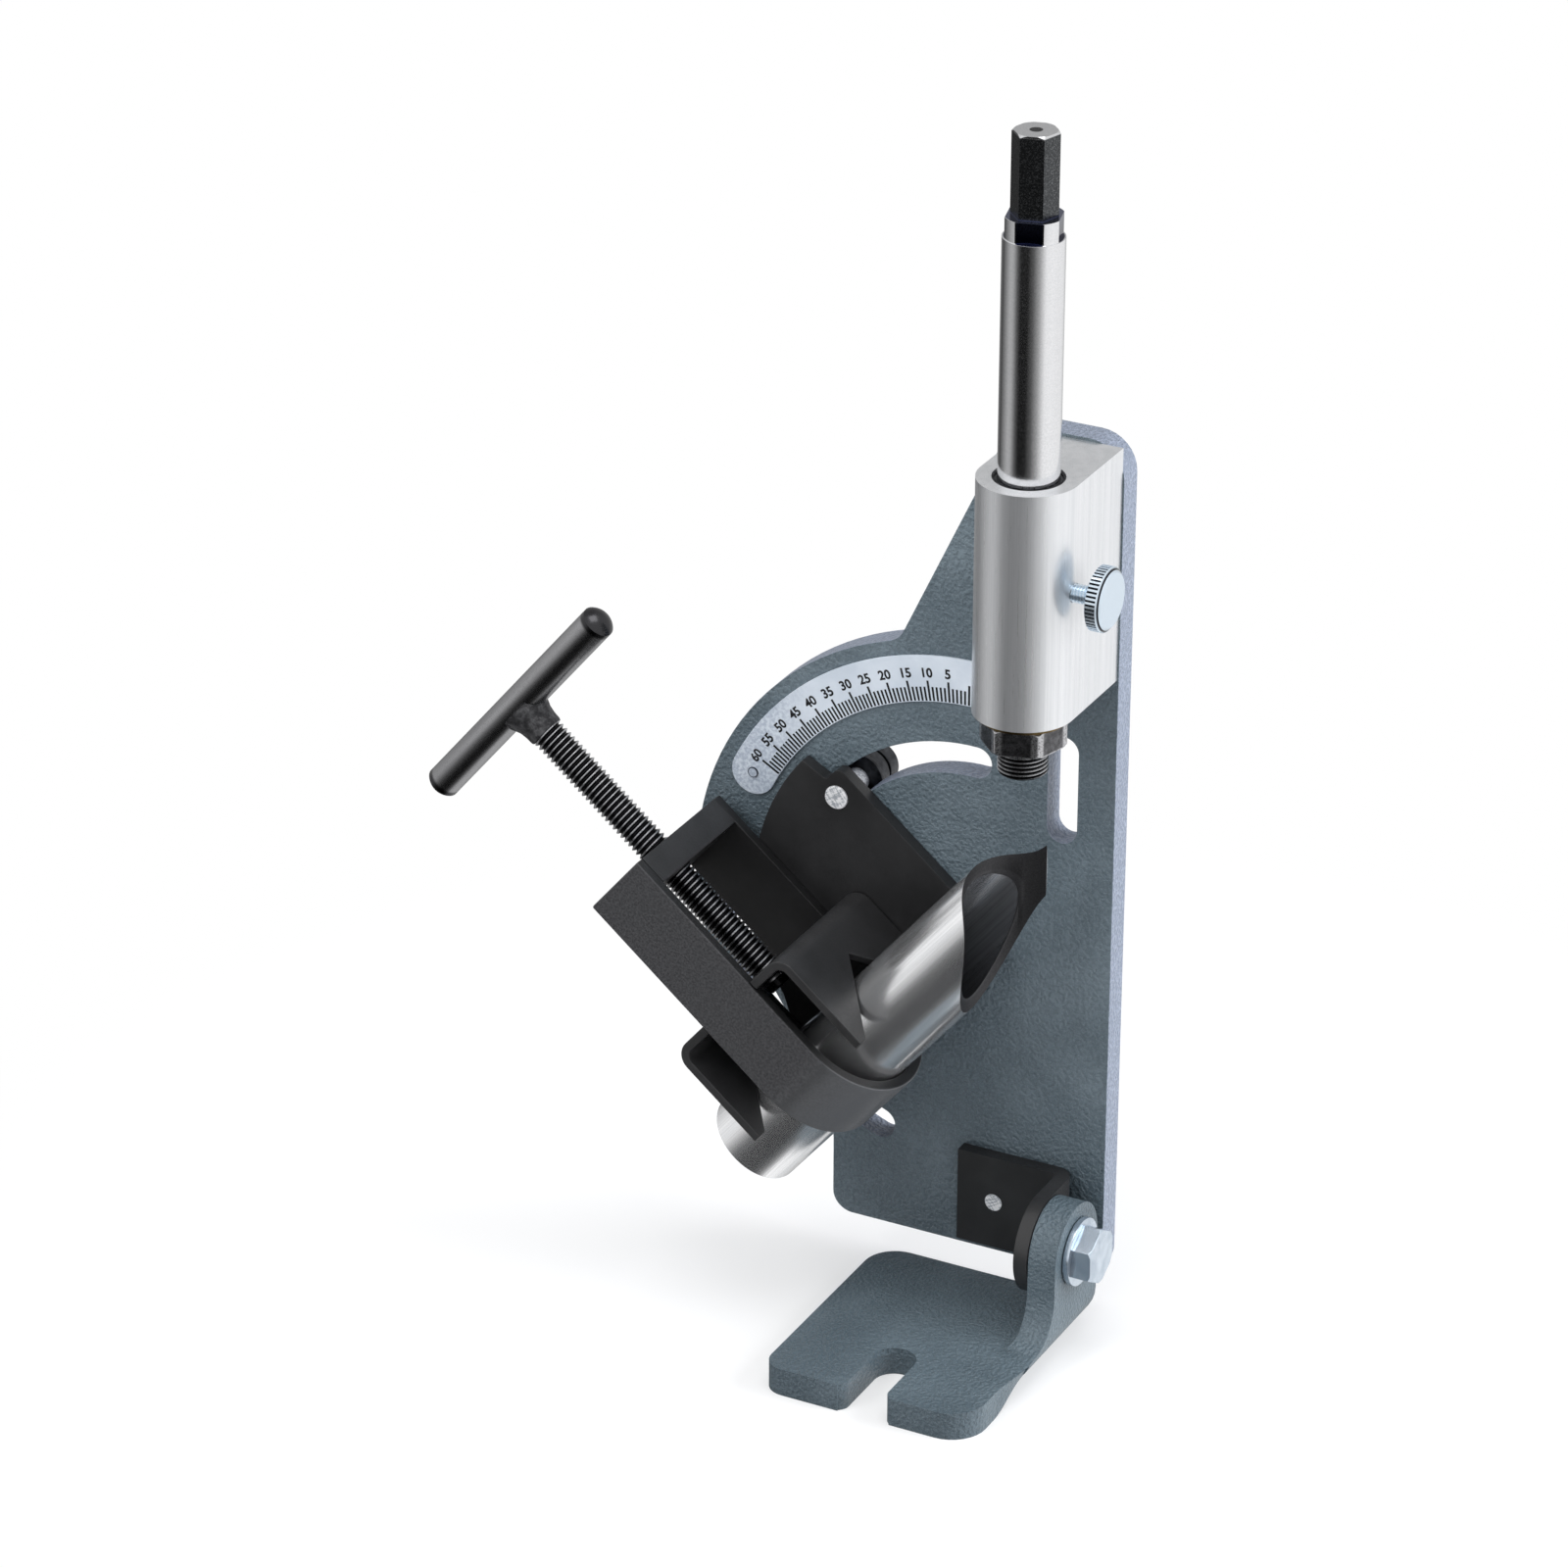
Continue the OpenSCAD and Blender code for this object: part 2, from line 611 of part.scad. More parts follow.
module pivot_washer() color([0.55, 0.47, 0.30]) at_swivel() difference() {
    rod_y(pivot_washer_d, plate_t + apart, plate_t + apart + pivot_washer_t);
    rod_y(pivot_d + 2 * seat, plate_t, plate_t + apart + pivot_washer_t + over);
}

// The strap's outline in Y and Z: two legs and a round lower end
module strap_loop(half) {
    translate([-half, strap_c]) square([2 * half, vise_top - strap_c]);
    translate([0, strap_c]) circle(r = half);
}

module vise_strap() color([0.14, 0.14, 0.15]) at_vise() difference() {
    strip(-strap_len / 2, strap_len) strap_loop(strap_w / 2);
    strip(-strap_len / 2 - over, strap_len + 2 * over) {
        strap_loop(strap_in);
        translate([-strap_in, vise_top]) square([2 * strap_in, over]);
    }
}

module end_block() color([0.14, 0.14, 0.15]) at_vise() difference() {
    translate([-strap_len / 2, -strap_in, vise_top - block_t]) cube([strap_len, 2 * strap_in, block_t]);
    rod_z(screw_d + 2 * running, vise_top - block_t - over, vise_top + over);
}

module v_jaw() color([0.12, 0.12, 0.13]) at_vise() difference() {
    half = jaw_len / 2;
    slab(jaw_w / 2, jaw_w) polygon(rounded([
        [-half, jaw_tip, 0],
        [-half, jaw_top, jaw_bend],
        [half, jaw_top, jaw_bend],
        [half, jaw_tip, 0],
        [half - jaw_t, jaw_tip, 0],
        [half - jaw_t, jaw_top - jaw_t, jaw_bend - jaw_t],
        [jaw_t - half, jaw_top - jaw_t, jaw_bend - jaw_t],
        [jaw_t - half, jaw_tip, 0]
    ]));
    strip(-half - over, jaw_len + 2 * over) polygon([
        [0, jaw_apex],
        [jaw_apex - jaw_tip + over, jaw_tip - over],
        [jaw_tip - jaw_apex - over, jaw_tip - over]
    ]);
    for (side = [-1, 1]) translate([0, side * strap_in, 0])
        translate([-strap_len / 2 - apart, side > 0 ? -apart : -strap_t - over, jaw_top - jaw_t - over])
            cube([strap_len + 2 * apart, strap_t + over + apart, jaw_t + 2 * over]);
    rod_z(screw_neck_d + 2 * running, jaw_top - jaw_t - over, jaw_top + over);
}

module at_bar() at_vise() translate([0, 0, bar_z]) children();
module bar_solid() {
    half = bar_len / 2 - bar_dome;
    dome_r = (bar_d * bar_d / 4 + bar_dome * bar_dome) / (2 * bar_dome);
    rod_x(bar_d, -half, half);
    for (turn = [0, 180]) rotate([0, 0, turn]) intersection() {
        translate([bar_len / 2 - dome_r, 0, 0]) sphere(r = dome_r);
        translate([half, -bar_d, -bar_d]) cube([bar_dome + over, 2 * bar_d, 2 * bar_d]);
    }
}

module clamp_screw() color([0.18, 0.18, 0.19]) difference() {
    at_vise() {
        rod_z(screw_d, jaw_top + apart, bar_z);
        rod_z(screw_neck_d, jaw_top - jaw_t - apart, jaw_top + apart);
        rod_z(clip_core, jaw_top + apart - neck_len, jaw_top - jaw_t - apart);
        rod_z(screw_neck_d, jaw_top + apart - neck_len, jaw_top - jaw_t - apart - clip_t);
    }
    at_bar() rod_x(bar_d, -screw_d, screw_d);
}

module jaw_clip() color([0.30, 0.30, 0.32]) at_vise() difference() {
    rod_z(clip_d, jaw_top - jaw_t - apart - clip_t, jaw_top - jaw_t - apart);
    rod_z(clip_core + 2 * seat, jaw_top - jaw_t - apart - clip_t - over, jaw_top - jaw_t);
    translate([0, -clip_mouth / 2, jaw_top - jaw_t - apart - clip_t - over])
        cube([clip_d, clip_mouth, clip_t + 2 * over]);
}

module handle_bar() color([0.22, 0.22, 0.24]) at_bar() bar_solid();

module handle_weld() color([0.24, 0.24, 0.26]) difference() {
    at_vise() translate([0, 0, bar_z - bar_d / 2 - weld_h / 2]) difference() {
        cylinder(d1 = screw_d * weld_low_share, d2 = screw_d * weld_top_share, h = weld_h);
        translate([0, 0, -over]) cylinder(d = screw_d, h = weld_h + 2 * over);
    }
    at_bar() rod_x(bar_d, -screw_d, screw_d);
}

module sample_tube() color([0.78, 0.79, 0.80]) difference() {
    at_vise() translate([0, 0, tube_w]) difference() {
        rod_x(tube_d, vise_back - tube_back, vise_back + tube_back);
        rod_x(tube_d - 2 * tube_wall, vise_back - tube_back - over, vise_back + tube_back + over);
    }
    at_arbor() translate([notch_shift, -notch_offset, pivot_z - tube_back]) {
        cylinder(r = notch_r, h = 3 * tube_back);
        translate([0, -2 * tube_d, 0]) cube([3 * tube_back, 4 * tube_d, 3 * tube_back]);
    }
}

module angle_bracket() color([0.10, 0.10, 0.11]) difference() {
    union() {
        translate([0, 0, bracket_z - bracket_h / 2]) linear_extrude(bracket_h) polygon(rounded([
            [bracket_left, plate_y, 0],
            [bracket_ear_x, plate_y, bracket_bend],
            [bracket_ear_x, 0, 0],
            [bracket_ear_x - bracket_t, 0, 0],
            [bracket_ear_x - bracket_t, plate_y - bracket_t, bracket_bend - bracket_t],
            [bracket_left, plate_y - bracket_t, 0]
        ]));
        translate([0, 0, tilt_h]) rod_x(bracket_h, bracket_ear_x - bracket_t, bracket_ear_x);
    }
    translate([0, 0, tilt_h]) rod_x(tilt_d + 2 * seat, bracket_ear_x - bracket_t - over, bracket_ear_x + over);
    for (x = [bracket_screw_near, bracket_screw_far])
        translate([x, plate_y, bracket_z]) rod_y(bracket_screw_d + 2 * seat, -bracket_t - over, over);
}

module bracket_screws() color([0.80, 0.82, 0.86])
    for (x = [bracket_screw_near, bracket_screw_far]) translate([x, plate_y, bracket_z]) difference() {
        union() {
            rod_y(bracket_screw_d, -bracket_t, plate_t);
            rod_y(bracket_screw_d * head_share, plate_t, plate_t + bracket_screw_d);
        }
        hex_y(bracket_screw_d * head_share / 2, plate_t + bracket_screw_d / 2,
              plate_t + bracket_screw_d + over);
    }

module tilt_bolt() color([0.80, 0.82, 0.86]) translate([0, 0, tilt_h]) {
    head = ear_x + apart + tilt_washer_t;
    rod_x(tilt_d, bracket_ear_x - bracket_t - bolt_proud, head);
    intersection() {
        translate([head, 0, 0]) rotate([0, 90, 0]) cylinder(d = tilt_af / cos(30), h = tilt_head_h, $fn = 6);
        translate([head, 0, 0]) rotate([0, 90, 0]) turned_z(tilt_af / cos(30), -over, tilt_head_h, chamfer);
    }
}

module tilt_washer() color([0.80, 0.82, 0.86]) translate([0, 0, tilt_h]) difference() {
    rod_x(tilt_washer_d, ear_x + apart, ear_x + apart + tilt_washer_t);
    rod_x(tilt_d + 2 * seat, ear_x, ear_x + apart + tilt_washer_t + over);
}

// The foot's flat part in X and Y, with its bolt slot open to the front
module foot_plan() difference() {
    polygon(rounded([
        [-foot_left, foot_back, foot_back_corner],
        [-foot_left, -foot_front, foot_front_corner],
        [foot_right, -foot_front, foot_right_corner],
        [foot_right, -ear_r - flare_r, bend_r],
        [ear_in - bend_r, -ear_r, bend_r],
        [ear_in - bend_r, foot_back, 0]
    ]));
    translate([foot_slot_x, 0]) {
        end = foot_slot_len - foot_front - foot_slot_w / 2;
        translate([0, end]) circle(d = foot_slot_w);
        translate([-foot_slot_w / 2, -foot_front - over])
            square([foot_slot_w, end + foot_front + over]);
        for (side = [-1, 1]) translate([side * foot_slot_w / 2, -foot_front]) difference() {
            translate([-slot_mouth_r, -slot_mouth_r]) square([2 * slot_mouth_r, 2 * slot_mouth_r]);
            translate([side * slot_mouth_r, slot_mouth_r]) circle(r = slot_mouth_r);
            translate([side > 0 ? slot_mouth_r / 2 : -2 * slot_mouth_r, -slot_mouth_r])
                square([1.5 * slot_mouth_r, 3 * slot_mouth_r]);
        }
    }
}

// The bent sheet of the ear, seen from the front, and the ear's own side view
module ear_bend() polygon(rounded([
    [ear_in - 2 * bend_r, 0, 0],
    [ear_x, 0, bend_r + foot_t],
    [ear_x, tilt_h + ear_r + over, 0],
    [ear_in, tilt_h + ear_r + over, 0],
    [ear_in, foot_t, bend_r],
    [ear_in - 2 * bend_r, foot_t, 0]
]));
module ear_side() {
    translate([0, tilt_h]) circle(r = ear_r);
    translate([-ear_r, 0]) square([2 * ear_r, tilt_h]);
    translate([-ear_r - flare_r, 0]) difference() {
        square([flare_r, foot_t + flare_r]);
        translate([0, foot_t + flare_r]) circle(r = flare_r);
    }
}

module mounting_foot() color([0.34, 0.39, 0.42]) difference() {
    union() {
        linear_extrude(foot_t) foot_plan();
        intersection() {
            slab(ear_r + over, 2 * ear_r + flare_r + 2 * over) ear_bend();
            strip(0, ear_x + over) ear_side();
        }
    }
    translate([0, 0, tilt_h]) rod_x(tilt_d + 2 * running, 0, ear_x + over);
}

main_plate();
arbor_housing();
housing_screws();
upper_bush();
lower_bush();
thumb_screw();
lock_pad();
scale_plate();
scale_rivets();
angle_bracket();
bracket_screws();
tilt_bolt();
tilt_washer();
mounting_foot();
thrust_washer();
arbor_shaft();
arbor_nut();
swivel_plate();
pivot_bolt();
pivot_nut();
pivot_washer();
clamp_studs();
clamp_washers();
clamp_nuts();
vise_strap();
end_block();
v_jaw();
clamp_screw();
jaw_clip();
handle_bar();
handle_weld();
sample_tube();
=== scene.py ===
from math import cos, pi, radians, sin, sqrt
import bpy
from mathutils import Matrix, Vector


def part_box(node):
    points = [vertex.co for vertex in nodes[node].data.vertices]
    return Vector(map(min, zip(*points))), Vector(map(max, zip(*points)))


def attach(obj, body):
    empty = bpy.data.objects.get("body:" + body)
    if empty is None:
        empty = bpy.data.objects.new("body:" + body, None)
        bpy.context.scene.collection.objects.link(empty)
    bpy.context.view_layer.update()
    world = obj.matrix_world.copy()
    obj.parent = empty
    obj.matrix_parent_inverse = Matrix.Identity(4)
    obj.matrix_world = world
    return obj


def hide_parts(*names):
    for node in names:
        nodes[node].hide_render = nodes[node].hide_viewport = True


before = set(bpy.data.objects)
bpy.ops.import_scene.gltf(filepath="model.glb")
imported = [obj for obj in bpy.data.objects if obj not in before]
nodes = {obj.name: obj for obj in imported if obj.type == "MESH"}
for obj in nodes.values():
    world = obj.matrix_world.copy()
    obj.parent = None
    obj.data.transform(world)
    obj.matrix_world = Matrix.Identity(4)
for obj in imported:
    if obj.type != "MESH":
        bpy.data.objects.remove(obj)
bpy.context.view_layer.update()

# ---------------------------------------------------------------------------
# Mounting foot: 9.5 mm steel, cut to shape, with one side bent up into an ear.
# Enamelled slate blue-grey with a fine hammered grain; the slot takes a bench
# bolt, and a screw through the ear carries the whole tool.

UP, EAST, NORTH = (0, 0, 1), (1, 0, 0), (0, 1, 0)
FOOT_T = 0.0095
BEND_X, BEND_R, EAR_FRONT = 0.0365, 0.0135, -0.0159
# The right margin: its side, the two ends of its sweep into the bend, how much
# wider it gets towards its top, and how far round the bend it curls
SIDE_X, SWEEP_FROM, SWEEP_TO, FLARE, CURL = 0.047, -0.053, -0.0319, 0.2286, 0.96
# Cutting blocks run past what they cut, and the margin laps into the foot
PAST, CUT_X, UNDER_X, SKIN, HAIR = 0.001, 0.06, 0.052, 0.0005, 0.00003
LAP_X, LAP_Y = 0.0003, 0.0002


def pick_up(piece):
    """Leaves only this piece selected."""
    bpy.ops.object.select_all(action="DESELECT")
    piece.select_set(True)
    bpy.context.view_layer.objects.active = piece


def opened(piece):
    """Leaves only this piece in edit mode, selected all over."""
    pick_up(piece)
    bpy.ops.object.mode_set(mode="EDIT")
    bpy.ops.mesh.select_all(action="SELECT")


def copy_of(node, name):
    """The node's shape as one merged mesh with whole flat faces."""
    piece = bpy.data.objects.new(name, nodes[node].data.copy())
    bpy.context.scene.collection.objects.link(piece)
    piece.data.materials.clear()
    pick_up(piece)
    bpy.ops.mesh.customdata_custom_splitnormals_clear()
    opened(piece)
    bpy.ops.mesh.remove_doubles(threshold=0.000002)
    bpy.ops.mesh.dissolve_limited(angle_limit=radians(0.4))
    bpy.ops.object.mode_set(mode="OBJECT")
    return piece


def smoothed(piece, angle=34):
    """Curved faces shaded smooth, flat faces kept flat."""
    pick_up(piece)
    bpy.ops.object.shade_smooth_by_angle(angle=radians(angle))
    weighted = piece.modifiers.new("flat_faces", "WEIGHTED_NORMAL")
    weighted.keep_sharp = True
    bpy.ops.object.modifier_apply(modifier=weighted.name)
    return piece


def eased(piece, width, segments=2, angle=34):
    """Sharp edges rounded as a file or a tumbler leaves them."""
    pick_up(piece)
    bevel = piece.modifiers.new("eased_edges", "BEVEL")
    bevel.width = width
    bevel.segments = segments
    bevel.limit_method = "ANGLE"
    bevel.angle_limit = radians(angle)
    bpy.ops.object.modifier_apply(modifier=bevel.name)
    return smoothed(piece, angle)


def fitted(piece, body, finish, slot, *replaced):
    """The piece gets its finish, rides on its body and stands for its nodes."""
    piece.data.materials.append(finish.material)
    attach(piece, body)
    if replaced:
        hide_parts(*replaced)


class Wire:
    """One output socket, so that shader sums are written as sums."""

    def __init__(self, finish, socket):
        self.finish, self.socket = finish, socket

    def maths(self, operation, other, reflected=False):
        """This wire and another value through one Math node."""
        first, second = (other, self) if reflected else (self, other)
        return self.finish.node("ShaderNodeMath", {"operation": operation}, {0: first, 1: second})

    def __add__(self, other):
        return self.maths("ADD", other)

    def __radd__(self, other):
        return self.maths("ADD", other, True)

    def __sub__(self, other):
        return self.maths("SUBTRACT", other)

    def __rsub__(self, other):
        return self.maths("SUBTRACT", other, True)

    def __mul__(self, other):
        return self.maths("MULTIPLY", other)

    def __rmul__(self, other):
        return self.maths("MULTIPLY", other, True)


def screen(red, green, blue):
    """A screen colour from 0 to 255 as the shader's linear colour."""
    linear = [c / 12.92 if c <= 0.04045 else ((c + 0.055) / 1.055) ** 2.4
              for c in (red / 255, green / 255, blue / 255)]
    return (*linear, 1.0)


class Finish:
    """A material with one main shader, built up from nodes."""

    def __init__(self, name, tree=None, **plain):
        if tree is None:
            self.material = bpy.data.materials.new(name)
            self.material.use_nodes = True
            tree = self.material.node_tree
        self.tree = tree
        self.shader = tree.nodes.get("Principled BSDF")
        for socket, value in plain.items():
            self.give(socket.replace("_", " ").title().replace("Ior", "IOR"), value)

    def give(self, socket, value):
        """A value or a wire put on one of the main shader's sockets."""
        self.plug(self.shader.inputs[socket], value)

    def plug(self, socket, value):
        if isinstance(value, Wire):
            self.tree.links.new(value.socket, socket)
        else:
            socket.default_value = value

    def node(self, kind, settings, inputs, out=0):
        """A new node: its settings first, then its sockets, and one output."""
        made = self.tree.nodes.new(kind)
        for name, value in settings.items():
            if name == "stops":
                marks = made.color_ramp.elements
                while len(marks) < len(value):
                    marks.new(0.5)
                for mark, (at, level) in zip(marks, value):
                    mark.position = at
                    mark.color = (level, level, level, 1)
            else:
                setattr(made, name, value)
        for name, value in inputs.items():
            self.plug(made.inputs[name], value)
        return Wire(self, made.outputs[out])

    def vectors(self, operation, first, second=(0, 0, 0), out="Value"):
        return self.node("ShaderNodeVectorMath", {"operation": operation},
                         {0: first, 1: second}, out)

    def place(self):
        """Where a point of the piece is, in metres."""
        return self.node("ShaderNodeTexCoord", {}, {}, "Object")

    def along(self, direction):
        """How far a point lies along a direction."""
        return self.vectors("DOT_PRODUCT", self.place(), direction)

    def off_axis(self, point, direction):
        """How far a point lies from an axis, in metres."""
        arm = self.vectors("SUBTRACT", self.place(), tuple(point), "Vector")
        return self.vectors("LENGTH", self.vectors("CROSS_PRODUCT", arm, direction, "Vector"))

    def drawn(self, across_a, across_b, along, fine, coarse):
        """Coordinates that stretch a grain along one direction."""
        return self.node("ShaderNodeCombineXYZ", {},
                         {0: self.along(across_a) * fine, 1: self.along(across_b) * fine,
                          2: self.along(along) * coarse})

    def noise(self, place, scale, detail=3.0, roughness=0.55):
        return self.node("ShaderNodeTexNoise", {}, {"Vector": place, "Scale": scale,
                                                    "Detail": detail, "Roughness": roughness})

    def between(self, value, low, high, to_low=0.0, to_high=1.0):
        """A smooth step from one level to another while a value goes its way."""
        return self.node("ShaderNodeMapRange", {"interpolation_type": "SMOOTHSTEP"},
                         {"Value": value, "From Min": low, "From Max": high,
                          "To Min": to_low, "To Max": to_high})

    def mix(self, factor, *pair):
        """Two colours mixed: wires, screen colours or four linear numbers."""
        first, second = (c if isinstance(c, Wire) or len(c) == 4 else screen(*c) for c in pair)
        return self.node("ShaderNodeMix", {"data_type": "RGBA"},
                         {0: factor, 6: first, 7: second}, 2)

    def shade(self, value, low, high, first, second):
        """One colour turning smoothly into another while a value goes its way."""
        return self.mix(self.between(value, low, high), first, second)

    def bump(self, height, distance, strength=1.0, under=None):
        inputs = {"Height": height, "Distance": distance, "Strength": strength}
        if under is not None:
            inputs["Normal"] = under
        return self.node("ShaderNodeBump", {}, inputs)


def hammered_enamel(name, dark, light, painted_edge_light=False):
    """Slate enamel between two shades; edge faces can get painted light, paler and more violet."""
    finish = Finish(name, specular_ior_level=0.5, coat_roughness=0.25, coat_weight=0.10)
    place = finish.place()
    grain = finish.noise(place, 880, 2, 0.4)
    fine = finish.noise(place, 2300, 2)
    colour = finish.shade(finish.noise(place, 22, 2), 0.34, 0.68, dark, light)
    if painted_edge_light:
        # Painted light: faces that don't face the front are made paler and more violet, as if lit
        # from the right
        normal = finish.node("ShaderNodeTexCoord", {}, {}, "Normal")
        facing = finish.vectors("DOT_PRODUCT", normal, NORTH)
        rim = 1 - finish.between(facing * facing, 0.25, 0.6)
        colour = finish.mix(rim, colour, finish.mix(grain, (120, 128, 146), (140, 148, 165)))
    speckled = finish.mix(finish.between(fine, 0.4, 0.75) * 0.36, colour, (132, 146, 154))
    finish.give("Base Color", finish.mix(finish.between(grain, 0.62, 0.38) * 0.24, speckled,
                                         (68, 81, 90)))
    finish.give("Roughness", finish.between(fine, 0.3, 0.7, 0.34, 0.48))
    hollow = finish.bump(finish.between(grain, 0.3, 0.7), 0.0004, 0.9)
    finish.give("Normal", finish.bump(fine, 0.00006, 0.5, hollow))
    return finish


def boolean(piece, other, operation):
    """Cuts or joins one closed shape with another, which is used up."""
    pick_up(piece)
    cut = piece.modifiers.new("cut", "BOOLEAN")
    cut.operation, cut.solver, cut.object = operation, "EXACT", other
    bpy.ops.object.modifier_apply(modifier=cut.name)
    bpy.data.objects.remove(other)


def block(low, high):
    """A plain block between two corners, to cut or to shape further."""
    bpy.ops.object.select_all(action="DESELECT")
    middle = [(a + b) / 2 for a, b in zip(low, high)]
    bpy.ops.mesh.primitive_cube_add(size=1, location=middle)
    made = bpy.context.object
    made.scale = [b - a for a, b in zip(low, high)]
    bpy.ops.object.transform_apply(location=True, rotation=True, scale=True)
    return made


foot = copy_of("mounting_foot", "painted_foot")
boolean(foot, block((BEND_X, SWEEP_FROM, -PAST), (CUT_X, SWEEP_TO, FOOT_T + PAST)), "DIFFERENCE")
under = block((BEND_X, SWEEP_TO - PAST, -PAST), (UNDER_X, EAR_FRONT, FOOT_T - SKIN))
bpy.ops.object.select_all(action="DESELECT")
bpy.ops.mesh.primitive_cylinder_add(vertices=128, radius=BEND_R + HAIR, depth=0.1,
                                    location=(BEND_X, 0, BEND_R), rotation=(radians(90), 0, 0))
bpy.ops.object.transform_apply(location=True, rotation=True, scale=True)
boolean(under, bpy.context.object, "DIFFERENCE")
boolean(foot, under, "DIFFERENCE")
# The margin runs out and curls up into the bend of the ear in one sweep
margin = block((BEND_X - LAP_X, SWEEP_FROM, 0), (SIDE_X, SWEEP_TO + LAP_Y, FOOT_T))
opened(margin)
bpy.ops.mesh.subdivide(number_cuts=15)
bpy.ops.object.mode_set(mode="OBJECT")
for corner in margin.data.vertices:
    part = min(max((corner.co.y - SWEEP_FROM) / (SWEEP_TO - SWEEP_FROM), 0), 1)
    sweep = part * part * (3 - 2 * part)
    rise = corner.co.z / FOOT_T
    corner.co.x += max(corner.co.x - BEND_X, 0) * FLARE * rise * sweep
    out = min(max(corner.co.x - BEND_X, 0), BEND_R * CURL)
    corner.co.z += (BEND_R - sqrt(BEND_R ** 2 - out ** 2)) * (1 - rise) * sweep
boolean(foot, margin, "UNION")
# The slivers that the cuts leave are dissolved and merged away
opened(foot)
bpy.ops.mesh.dissolve_limited(angle_limit=radians(0.6))
bpy.ops.mesh.select_all(action="SELECT")
bpy.ops.mesh.remove_doubles(threshold=0.00006)
bpy.ops.mesh.dissolve_limited(angle_limit=radians(0.6))
bpy.ops.mesh.select_all(action="SELECT")
bpy.ops.mesh.delete_loose()
bpy.ops.object.mode_set(mode="OBJECT")
eased(foot, 0.0009, 3)
# Painted shade: the foot gets the same enamel as the plate in darker shades
fitted(foot, "foot", hammered_enamel("hammer_paint", (64, 78, 86), (88, 102, 110)),
       "hammer_paint", "mounting_foot")

# ---------------------------------------------------------------------------
# Tilt bolt and its washer: bright zinc-plated M10, turned and forged, through
# the ear and threaded into the angle bracket behind it.


def bright_zinc(name):
    """Zinc plate's sheen and fine pits, before it has its colour."""
    finish = Finish(name, metallic=0.9)
    pits = finish.noise(finish.place(), 1700, 3)
    finish.give("Roughness", finish.between(pits, 0.3, 0.75, 0.19, 0.25))
    finish.give("Normal", finish.bump(pits, 0.000005, 0.3))
    return finish


zinc = bright_zinc("zinc_plate")
zinc.give("Base Color", zinc.shade(zinc.noise(zinc.place(), 160, 3), 0.25, 0.75,
                                   (184, 197, 211), (212, 223, 234)))
bolt = eased(copy_of("tilt_bolt", "hex_tilt_bolt"), 0.00035, 2, 20)
fitted(bolt, "frame", zinc, "zinc", "tilt_bolt")
washer = eased(copy_of("tilt_washer", "zinc_tilt_washer"), 0.0003)
fitted(washer, "frame", zinc, "zinc", "tilt_washer")

# ---------------------------------------------------------------------------
# Angle bracket: 4.7 mm steel bent to a right angle and coated satin black, with
# the tilt bolt's thread in it. Two zinc screws, whose ends show scraped, bolt
# it to the plate's front.


def satin_coat(name):
    """The black coat's sheen and fine grain, before it has its colour."""
    finish = Finish(name, specular_ior_level=0.5)
    finish.cloud = finish.noise(finish.place(), 45, 3)
    finish.grain = finish.noise(finish.place(), 1300, 3)
    finish.give("Roughness", finish.between(finish.grain, 0.3, 0.7, 0.34, 0.48))
    finish.give("Normal", finish.bump(finish.grain, 0.00005, 0.45))
    return finish


def scraped_zinc():
    """Screw and stud ends: bright, with scratches all ways across them."""
    finish = Finish("scraped_zinc", metallic=0.25)
    across = finish.noise(finish.drawn((0.8, 0, 0.6), NORTH, (-0.6, 0, 0.8), 1800, 300), 1, 3)
    athwart = finish.noise(finish.drawn((0.5, 0, -0.86), NORTH, (0.86, 0, 0.5), 1800, 300), 1, 3)
    finish.give("Base Color", finish.shade(across * athwart, 0.16, 0.32,
                                           (176, 180, 186), (252, 252, 253)))
    finish.give("Roughness", finish.between(across, 0.3, 0.7, 0.3, 0.5))
    finish.give("Normal", finish.bump(finish.noise(finish.place(), 1500, 2), 0.00004, 0.5))
    return finish


black = satin_coat("black_coat")
black.give("Base Color", black.shade(black.cloud, 0.3, 0.7, (32, 32, 33), (44, 44, 45)))
bracket = eased(copy_of("angle_bracket", "black_bracket"), 0.0006)
fitted(bracket, "frame", black, "black_coat", "angle_bracket")
scraped = scraped_zinc()
screws = eased(copy_of("bracket_screws", "zinc_bracket_screws"), 0.00035)
fitted(screws, "frame", scraped, "zinc", "bracket_screws")

# ---------------------------------------------------------------------------
# Main plate: 9.5 mm steel, flame cut to its round-sided outline with two
# curved slots and an upright one, edges broken, and enamelled like the foot.

plate = eased(copy_of("main_plate", "painted_plate"), 0.0008, 3)
fitted(plate, "frame", hammered_enamel("plate_paint", (88, 102, 110), (110, 124, 132), True),
       "hammer_paint", "main_plate")

# ---------------------------------------------------------------------------
# Scale plate: 1 mm aluminium strip, anodised pale blue-silver and printed in
# black with a mark each degree and a number each five, held by two rivets.

PIVOT = Vector((0, 0.0198, 0.1305))
FACE_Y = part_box("scale_plate")[0].y
# How far out from the pivot the strokes, the numbers and the rivets lie
TICK_FOOT, SHORT_TICK, LONG_TICK = 0.0769, 0.0816, 0.0837
DIGIT_FOOT, RIVET_OUT = 0.0847, 0.08435
SHORT_WIDE, LONG_WIDE, INK = 0.00070, 0.00074, 0.00004
DIGIT_TALL, DIGIT_WEIGHT = 0.0033, 0.03
LAST_MARK, MARK_EACH = 60, 5
RIVET_R, RIVET_AT = 0.0018, (-64, 6)
RIVETS = [PIVOT + Vector((sin(radians(a)), 0, cos(radians(a)))) * RIVET_OUT for a in RIVET_AT]


